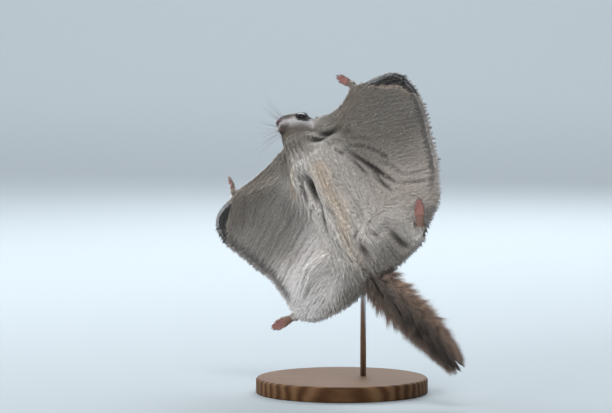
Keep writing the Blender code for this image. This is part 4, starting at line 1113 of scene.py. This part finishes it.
edge_points, edge_ways = [], []
for side in SIDES:
    for edge in (LEADING_EDGE, WINGTIP_EDGE, SIDE_EDGE, TRAILING_EDGE):
        line = along(edge[side], np.linspace(0.02, 0.98, 260))
        edge_points.append(line)
        heading = unit(np.gradient(line, axis=0))
        outward = np.cross(heading, (0, 0, 1.0)) * (1 if side == "right" else -1)
        edge_ways.append(unit(outward * (-1 if edge is TRAILING_EDGE else 1)))
edge_points, edge_ways = np.vstack(edge_points), np.vstack(edge_ways)
paw_share = paw_parts_of(skin_points, skin_normals)[0]
in_head = unplaced(skin_points, HEAD)
open_eye = (off_eyes(in_head) < EYE_RADIUS + BARE_ROUND_EYE) | eye_push[0] | eye_push[1]
# The tufts thin out where the folds' painted shade lies.
skin_fold_shade = creases(skin_points, plain_normals)[1]
density = ((1 - skin_bare) * (1 - open_eye) * (1 - on_tail(skin_points)) * (1 - 0.7 * skin_fold_shade)
           * (1 + 1.7 * skin_head + 1.4 * paw_share))
which, shares, root, normal, plain, root_uv = rooted(density, TUFTS_PER_SQUARE_MM)
head_at, paw_at = at(skin_head, which, shares), at(paw_share, which, shares)
way = lie_of(root, normal)
fine, broad = streaks(root, way, 2.4, 5.0, 41), streaks(root, way, 6.5, 14.0, 42)
stray = np.cross(normal, way) * (0.14 * broad + 0.09 * fine + 0.08 * chance.normal(size=len(root)))[:, None]
way = unit(way + stray)
small = 1 - np.maximum(head_at, paw_at)
close_fold = creases(root, plain)[2]
long = lengths_of(root, head_at, paw_at) * chance.uniform(0.75, 1.15, len(root))
long = long * (1 - 0.70 * close_fold) * (1 + 0.14 * fine * small)
clump, shade = cell_centres(root, CLUMP, 5)
rise = 0.19 + (0.07 * fine + 0.05 * broad) * small + 0.04 * chance.normal(size=len(root))
rise = rise * (1 - 0.5 * close_fold)
wide = TUFT_WIDTH * (0.60 + 0.40 * small) * chance.uniform(0.8, 1.2, len(root))
# Painted highlight: tufts at the free edges of the membrane are mixed toward white for the light from behind.
at_rim = smooth(nearest(root, edge_points)[0], 2.2, 1.3) * small
long = long * (1 - 0.35 * at_rim)
colour = mix(markings(root, plain)[0], HIGHLIGHT_WHITE, 0.55 * at_rim)
streaky = smooth(-root[:, 1], 12, 35) * smooth(root[:, 0], 25, -12) * smooth(-normal[:, 2], 0.0, 0.3)
light = (1 + (0.07 * fine + 0.06 * broad) * small + 0.04 * shade + 0.04 * chance.normal(size=len(root)))
gap = (0.4 + 0.3 * streaky) * smooth(-fine - 0.4 * broad, 0.9 - 0.3 * streaky, 2.1 - 0.4 * streaky) * small
light = (light * (1 - gap))[:, None]
made = spikes(root, way, normal, long, wide, np.maximum(rise, 0.04), TUFT_STEPS, clump, CLUMP_PULL * small)
fur = coat_material("fur", roughness=0.62, sheen=0.35, shade=0.06)
tip_colour = np.minimum(colour * TIP_LIGHT * light, 1)
coat_pieces("coat", made, root_uv, colour * ROOT_DARK * light, tip_colour, fur)
print("TUFTS", len(root))

# The fringe: a thin line of pale hair that stands out past every free edge of the membrane, shorter where it
# points forward. Its tips are nearly white, pale hair with a painted highlight for the light from behind, and
# their sheen catches that light.
FRINGE_TUFTS, FRINGE_LONG, FRINGE_WIDE, FRINGE_REACH, FRINGE_CLUMP = 15000, 3.3, 0.36, 2.15, 2.0
at_edge = (nearest(skin_points, edge_points)[0] < FRINGE_REACH) * (1 - skin_bare) * (1 - skin_head)
rim_area = scatter(skin_points, skin_faces, at_edge.astype(float), 1.0)[0].size
which, shares, root, normal, plain, root_uv = rooted(at_edge.astype(float), FRINGE_TUFTS / max(rim_area, 1))
near_edge = nearest(root, edge_points)[1]
out = unit(edge_points[near_edge] - root + edge_ways[near_edge] * 2.5)
way = unit(out + 0.45 * lie_of(root, normal) + 0.12 * chance.normal(size=root.shape))
forward_way = way @ np.array((1.0, 0, 0))
long = FRINGE_LONG * chance.uniform(0.6, 1.1, len(root)) * (1 + 0.18 * ripple(root, 4, 51))
long = long * np.where(forward_way > 0.3, 0.6, 1)
clump = cell_centres(root, FRINGE_CLUMP, 6)[0]
fringe_tone = mix(markings(root, plain)[0], HIGHLIGHT_WHITE, 0.1)
made = spikes(root, way, normal, long, FRINGE_WIDE * chance.uniform(0.8, 1.2, len(root)),
              np.full(len(root), 0.03), TUFT_STEPS, clump, np.full(len(root), 0.4))
rim_fur = coat_material("rim_fur", roughness=0.5, sheen=0.9, shade=0.04)
coat_pieces("fringe", made, root_uv, fringe_tone * 0.8, mix(fringe_tone, HIGHLIGHT_WHITE, 0.8), rim_fur)

# The tail's brush: long hair that leaves a slim core sideways and lies back toward the tip, flat above and
# below, dark in the middle with warmer, paler tips along both sides. The hairs gather into locks that end in
# points.
BRUSH_WIDE, BRUSH_FLAT, BRUSH_LEAN = (23, 27, 25.5, 22.5, 17), 0.66, 2.5
TAIL_TUFTS, TAIL_HAIR, TAIL_HAIR_WIDE, LAST_ROOT = 21000, 24.0, 0.75, 0.985
LOCK_ROWS, LOCKS_ROUND, BRUSH_STEPS, TAIL_SAMPLES = 15, 10, (0.0, 0.33, 0.66, 1.0), 200

share = chance.uniform(0, 1, TAIL_TUFTS) ** 0.92 * LAST_ROOT
angle = chance.uniform(0, 2 * math.pi, TAIL_TUFTS)
order = np.argsort(share)
share, angle = share[order], angle[order]
knots = even(5)
tail_long = norms(np.diff(along(TAIL, even(50)), axis=0)).sum()
line = along(TAIL, even(TAIL_SAMPLES)) - (0, BRUSH_LEAN, 0)
axis_line = unit(np.gradient(line, axis=0))
tangled = np.random.default_rng(3)
length = TAIL_HAIR * tangled.uniform(0.7, 1.1, TAIL_TUFTS)
length = length * np.interp(share, (0, 0.12, 0.3, 1), (0.72, 0.92, 1.0, 0.85))
row_of = np.floor(share * LOCK_ROWS + 0.35 * np.sin(angle * 6) + 1).astype(int)
lock = row_of * LOCKS_ROUND + np.floor((angle / (2 * math.pi) + row_of * 0.37) % 1 * LOCKS_ROUND).astype(int)
locks = lock.max() + 1
lock_draw = tangled.uniform(-1, 1, (locks, 3))[lock]
lock_share = (np.bincount(lock, share, locks) / np.maximum(np.bincount(lock, minlength=locks), 1))[lock]
lock_angle = np.arctan2(*[np.bincount(lock, f(angle), locks)[lock] for f in (np.sin, np.cos)])
lock_angle = angle + (lock_angle - angle + math.pi) % (2 * math.pi) - math.pi
core = np.interp(share, knots, TAIL_CORE)
tip_share = np.minimum(share + 0.8 * length / tail_long, 1.0)
brush = np.interp(tip_share, knots, BRUSH_WIDE) * tangled.uniform(0.66, 1.0, TAIL_TUFTS)
brush = brush * (1.04 + 0.22 * lock_draw[:, 0])
rise_by = np.minimum(np.maximum(brush - core, 1.5), 0.80 * length)
rise_by = rise_by * np.interp(share, (0, 0.85, 1), (1, 0.95, 0.4))
run_by = np.sqrt(np.maximum(length ** 2 - rise_by ** 2, (0.5 * length) ** 2))
loose = 0.10 * tangled.normal(size=TAIL_TUFTS)
gather = np.clip(0.84 + 0.16 * tangled.normal(size=TAIL_TUFTS), 0.2, 1.0)
rings = []
for s in BRUSH_STEPS:
    mid_angle = angle + (lock_angle - angle) * gather * s ** 1.4 + (0.12 * lock_draw[:, 1] + loose) * s
    mid_share = share + (lock_share - share) * gather * s ** 1.4
    place = mid_share + run_by * s / tail_long
    index = np.clip((np.minimum(place, 1.0) * (TAIL_SAMPLES - 1)).astype(int), 0, TAIL_SAMPLES - 1)
    centre, axis = line[index], axis_line[index]
    centre = centre + axis * (np.maximum(place - 1.0, 0) * tail_long)[:, None]
    aside = unit(np.cross(np.broadcast_to((0.0, 0.0, 1.0), axis.shape), axis))
    over = np.cross(axis, aside)
    out = aside * np.cos(mid_angle)[:, None] + over * BRUSH_FLAT * np.sin(mid_angle)[:, None]
    bend = s - 0.04 * math.sin(math.pi * s)
    centre = centre + out * (core * 0.8 + rise_by * bend)[:, None]
    if s == 1:
        rings.append(centre[:, None])
        break
    flat = unit(np.cross(axis, out))
    half = 0.5 * (TAIL_HAIR_WIDE * tangled.uniform(0.8, 1.2, TAIL_TUFTS) * (1 - s ** 1.8))[:, None]
    edge, ridge = flat * half, unit(out) * half * 0.5
    rings.append(np.stack([centre + edge, centre + ridge, centre - edge], axis=1))
tail_points = np.concatenate(rings, axis=1)
pattern = spikes(np.zeros((1, 3)), np.array([[1.0, 0, 0]]), np.array([[0, 0, 1.0]]), np.ones(1), np.ones(1),
                 np.zeros(1), BRUSH_STEPS, np.zeros((1, 3)), np.zeros(1))
flank = np.abs(np.cos(angle))
base_tone = mix(TAIL_ROOT, TAIL_DARK, smooth(share, 0.0, 0.7)) * 0.74 * (1 + 0.2 * lock_draw[:, 2:])
warm = flank ** 2 * (1.0 - 0.4 * share) * (0.45 + 0.55 * smooth(share, 0.02, 0.25))
tip_tone = mix(base_tone * 1.6, TAIL_TIP, warm)
SKIN_STRIDE = 40  # every so many of the skin's points are enough to find a hair's place on the map
near_skin = nearest(tail_points[:, 0], skin_points[::SKIN_STRIDE])[1] * SKIN_STRIDE
corner_of = np.zeros(len(skin_points), int)
corner_of[skin_faces.ravel()] = np.arange(skin_faces.size)
tail_uv = skin_uv.reshape(-1, 2)[corner_of[near_skin]]
tail_fur = coat_material("tail_fur", roughness=0.6, sheen=0.25, shade=0.06)
made = (tail_points, *pattern[1:])
coat_pieces("brush", made, tail_uv, base_tone * 0.7, tip_tone * 1.1, tail_fur)

# The eyes: a night animal's, big, black all over and wet. Each is one ball of black glass, sunk in the skull
# behind the ring of its lids.
wet_eye = Graph("wet_eye").finish(Base_Color=(0.006, 0.005, 0.006), Roughness=0.12, IOR=1.4,
                                  Specular_IOR_Level=0.24)
for side, sign in (("left", 1), ("right", -1)):
    points, faces = ball((0, 0, 0), (EYE_RADIUS,) * 3, 48, 31)
    points = placed(points + EYE_CENTRE * (1, sign, 1), HEAD)
    eye = new_piece(f"eye_ball_{side}", points, faces)
    give(eye, {}, wet_eye)
    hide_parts(f"eye_{side}")

# Claws: small, dark horn, sharply curved, one out of each toe and finger. Each is a tube that tapers along
# tip + way * u * long + down * 0.55 u ** 2 * long.
CLAW_RADIUS, CLAW_DROP, CLAW_TAPER = 0.62, 0.55, 0.93
claw_shapes = []
for tip, claw_way, down, claw_long in claw_roots:
    u = even(7)
    path = tip + np.outer(u * claw_long, claw_way) + np.outer(u ** 2 * claw_long * CLAW_DROP, down)
    radius = CLAW_RADIUS * (1 - CLAW_TAPER * u ** 1.3)
    claw_shapes.append(tube(np.column_stack([path, radius, radius * 1.15]), 10, round_start=0.3,
                            round_end=0.05, up=np.cross(claw_way, down)))
claw_horn = Graph("claw_horn").finish(Base_Color=(0.05, 0.035, 0.03), Roughness=0.3)
give(new_piece("claws", *join(claw_shapes)), {}, claw_horn)

# Whiskers: long, thin, dark hairs fanned from the pads beside the nose, four rows of four on each side, the
# rearmost the longest, each swept back by 0.16 u ** 2 of its length.
WHISKER_ROWS, WHISKERS_PER_ROW, WHISKER_LONG, WHISKER_RADIUS, WHISKER_SWEEP = 4, 4, 36.0, 0.10, 0.16


def whisker(sign, row, step, draw):
    """One whisker on the side of the given sign, counted from the rear of its row."""
    start = np.array((11.8 + 1.5 * step, sign * (6.0 - 0.6 * step), -4.6 + 1.3 * row))
    way = unit((0.95 + 0.10 * step, sign * (0.75 - 0.12 * row), -0.55 + 0.40 * row + 0.12 * draw.normal()))
    long = (WHISKER_LONG - 4.5 * step) * draw.uniform(0.75, 1.1)
    u = even(9)
    path = start + np.outer(u * long, way) + np.outer(u ** 2 * long * WHISKER_SWEEP, (-0.8, 0, -0.2))
    radius = WHISKER_RADIUS * (1 - 0.75 * u)
    points, faces = tube(np.column_stack([path, radius, radius]), 5, round_start=0.01, round_end=0.01,
                         up=(1, 0.1, 0.2))
    return placed(points, HEAD), faces


whisker_draw = np.random.default_rng(17)
whisker_shapes = [whisker(sign, row, step, whisker_draw)
                  for sign in (1, -1) for row in range(WHISKER_ROWS) for step in range(WHISKERS_PER_ROW)]
whisker_hair = Graph("whisker_hair").finish(Base_Color=(0.16, 0.14, 0.13), Roughness=0.4)
give(new_piece("whiskers", *join(whisker_shapes)), {}, whisker_hair)

# The stand: a turned disc of oiled wood with a rounded upper edge, and a bent rod of brushed steel that
# stands on it and goes up into the middle of the back.
BASE_RADIUS, BASE_HEIGHT, BASE_ROUND = 72.0, 13.0, 2.5
ROD_RADIUS, ROD_BEND, ROD_SOCKET, ROD_BODY_X, ROD_OUT, ROD_GAP = 2.5, 17.0, 7.0, -8.0, 30.0, 0.3


def wood_material():
    """Rings of growth, wavy and stretched along the board, with fine dark pores."""
    graph = Graph("oiled_wood")
    where = graph.node("ShaderNodeTexCoord", output=3)
    board = graph.node("ShaderNodeMapping", {}, {0: where, 1: (0.02, 0.31, 0.0), 3: (0.22, 1.0, 1.0)})
    growth = graph.wire("ShaderNodeTexWave", {"wave_type": "RINGS", "rings_direction": "X"},
                        {"Vector": board, "Scale": 42.0, "Distortion": 3.0,
                         "Detail": 2.0, "Detail Scale": 1.2})
    pores = noise(graph, scale=900.0, detail=2.0, stretch=(0.05, 1, 1))
    stops = ((0.15, (0.060, 0.028, 0.013)), (0.55, (0.110, 0.056, 0.027)), (0.9, (0.155, 0.088, 0.046)))
    wood = graph.node("ShaderNodeValToRGB", {"stops": stops}, {0: growth * 0.7 + pores * 0.3})
    bump = graph.node("ShaderNodeBump", {}, {"Height": pores, "Strength": 0.12, "Distance": 0.0004})
    return graph.finish(Base_Color=wood, Roughness=pores * 0.15 + 0.52, Normal=bump, Specular_IOR_Level=0.05)


def steel_material():
    """Steel brushed along the rod: its roughness varies in long thin strokes."""
    graph = Graph("brushed_steel")
    strokes = noise(graph, scale=3000.0, detail=1.0, stretch=(1, 1, 0.06))
    return graph.finish(Base_Color=(0.62, 0.63, 0.65), Metallic=1.0, Roughness=strokes * 0.16 + 0.22)


turn = np.linspace(0, math.pi / 2, 9)
profile = [(BASE_RADIUS - 1.0, 0.0), (BASE_RADIUS - 0.3, 0.3), (BASE_RADIUS, 1.0),
           (BASE_RADIUS, BASE_HEIGHT - BASE_ROUND)]
for a in turn[1:]:
    profile.append((BASE_RADIUS - BASE_ROUND * (1 - math.cos(a)),
                    BASE_HEIGHT - BASE_ROUND * (1 - math.sin(a))))
profile = np.array(profile + [(BASE_RADIUS * 0.5, BASE_HEIGHT), (2.0, BASE_HEIGHT)])
around = np.linspace(0, 2 * math.pi, 180, endpoint=False)
rings = np.stack([profile[:, :1] * np.cos(around), profile[:, :1] * np.sin(around),
                  profile[:, 1:] + 0 * around], axis=-1).reshape(-1, 3)
points = np.vstack([rings, [(0, 0, 0), (0, 0, BASE_HEIGHT)]])
disc = new_piece("base_disc", points, wall(len(profile), len(around)), world=False)
give(disc, {}, wood_material())
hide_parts("stand_base")

spine = along(TRUNK, even(200))
entry = spine[np.argmin(abs(spine[:, 0] - ROD_BODY_X))]
start = placed(entry[:3] + (0, 0, entry[4] - ROD_SOCKET), ANIMAL)
out_way = ANIMAL[:3, 2]
elbow = start + out_way * ROD_OUT
u = even(24)[:, None]
bend_path = elbow - out_way * ROD_BEND * (1 - u) ** 2 + np.array((0, 0, -1.0)) * ROD_BEND * u ** 2
path = np.vstack([start, bend_path, (elbow[0], elbow[1], BASE_HEIGHT + ROD_GAP)])
points, faces = tube(np.column_stack([path, np.full((len(path), 2), ROD_RADIUS)]), 32, round_start=0.01,
                     round_end=0.01, up=np.cross((out_way[0], out_way[1], 0), (0, 0, -1)))
rod = new_piece("bent_rod", points, faces, world=False)
give(rod, {}, steel_material())
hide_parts("stand_rod")

# The room: a pale floor that sweeps up behind, a soft cool back light that rims the fur, a broad low light
# from the front left, a small one overhead for the eye, and a long lens a little above the animal.
FLOOR_WIDE, FLOOR_FRONT, SWEEP_BACK, SWEEP_HIGH, SWEEP_ROUND = 7.0, -6.0, 5.6, 4.0, 1.6
u = np.linspace(0, math.pi / 2, 24)
sweep = SWEEP_BACK - SWEEP_ROUND + SWEEP_ROUND * np.sin(u)
depth_line = np.concatenate([[FLOOR_FRONT, 0.0], sweep, [SWEEP_BACK]])
height_line = np.concatenate([[0.0, 0.0], SWEEP_ROUND - SWEEP_ROUND * np.cos(u), [SWEEP_HIGH]])
rows = len(depth_line)
points = np.concatenate([np.stack([np.full(rows, x), depth_line, height_line], axis=1)
                         for x in (-FLOOR_WIDE, FLOOR_WIDE)]) / MM
a = np.arange(rows - 1)
floor = new_piece("floor", points, np.stack([a, a + rows, a + rows + 1, a + 1], axis=1), world=False)
pale_floor = Graph("pale_floor").finish(Base_Color=(0.315, 0.35, 0.372), Roughness=0.95,
                                        Specular_IOR_Level=0.1)
floor.data.materials.append(pale_floor)

world = bpy.data.worlds.new("room")
bpy.context.scene.world = world
world.use_nodes = True
world.node_tree.nodes["Background"].inputs[0].default_value = (0.90, 0.95, 1.0, 1)
world.node_tree.nodes["Background"].inputs[1].default_value = 0.65
bpy.context.scene.view_settings.view_transform = "Standard"


def area_light(name, place, aim, size, watts, colour):
    """A round lamp at a place, in metres, that faces the aim."""
    light = bpy.data.lights.new(name, "AREA")
    light.shape, light.size, light.energy, light.color = "DISK", size, watts, colour
    lamp = bpy.data.objects.new(name, light)
    bpy.context.scene.collection.objects.link(lamp)
    back = unit(np.array(place) - np.array(aim))
    right = unit(np.cross((0, 0, 1), back))
    lamp.matrix_world = Matrix(pose_of(right, np.cross(back, right), back, place).tolist())
    return lamp


MIDDLE = (0.0, 0.0, 0.16)
lamps = [
    area_light("back_light", (0.25, 1.3, 1.15), MIDDLE, size=1.8, watts=30, colour=(0.94, 0.97, 1.0)),
    area_light("eye_light", (0.1, -0.8, 1.5), MIDDLE, size=0.5, watts=8, colour=(1.0, 0.98, 0.96)),
    area_light("left_rim", (-1.3, 0.9, 0.9), MIDDLE, size=0.8, watts=20, colour=(0.94, 0.97, 1.0)),
    area_light("front_fill", (-1.7, -2.0, 0.8), MIDDLE, size=1.2, watts=31, colour=(1.0, 0.94, 0.88)),
    area_light("far_floor_light", (0.0, 4.4, 3.2), (0.0, 4.2, 0.0), size=4.0, watts=165,
               colour=(0.96, 0.98, 1.0)),
]

PICTURE_WIDE, FAR, SENSOR = 0.510, 4.0, 36.0
right = np.array((1.0, 0.0, 0.0))
up = np.array((0.0, math.sin(VIEW_TILT), math.cos(VIEW_TILT)))
toward = np.array((0.0, -math.cos(VIEW_TILT), math.sin(VIEW_TILT)))
aim = (TRUNK_PLACE - 16.1 * right - 1.8 * up) * MM
camera = bpy.data.cameras.new("camera")
camera.sensor_width, camera.lens, camera.clip_end = SENSOR, SENSOR * FAR / PICTURE_WIDE, 30.0
eye_point = bpy.data.objects.new("camera", camera)
bpy.context.scene.collection.objects.link(eye_point)
eye_point.matrix_world = Matrix(pose_of(right, up, toward, aim + toward * FAR).tolist())
bpy.context.scene.camera = eye_point
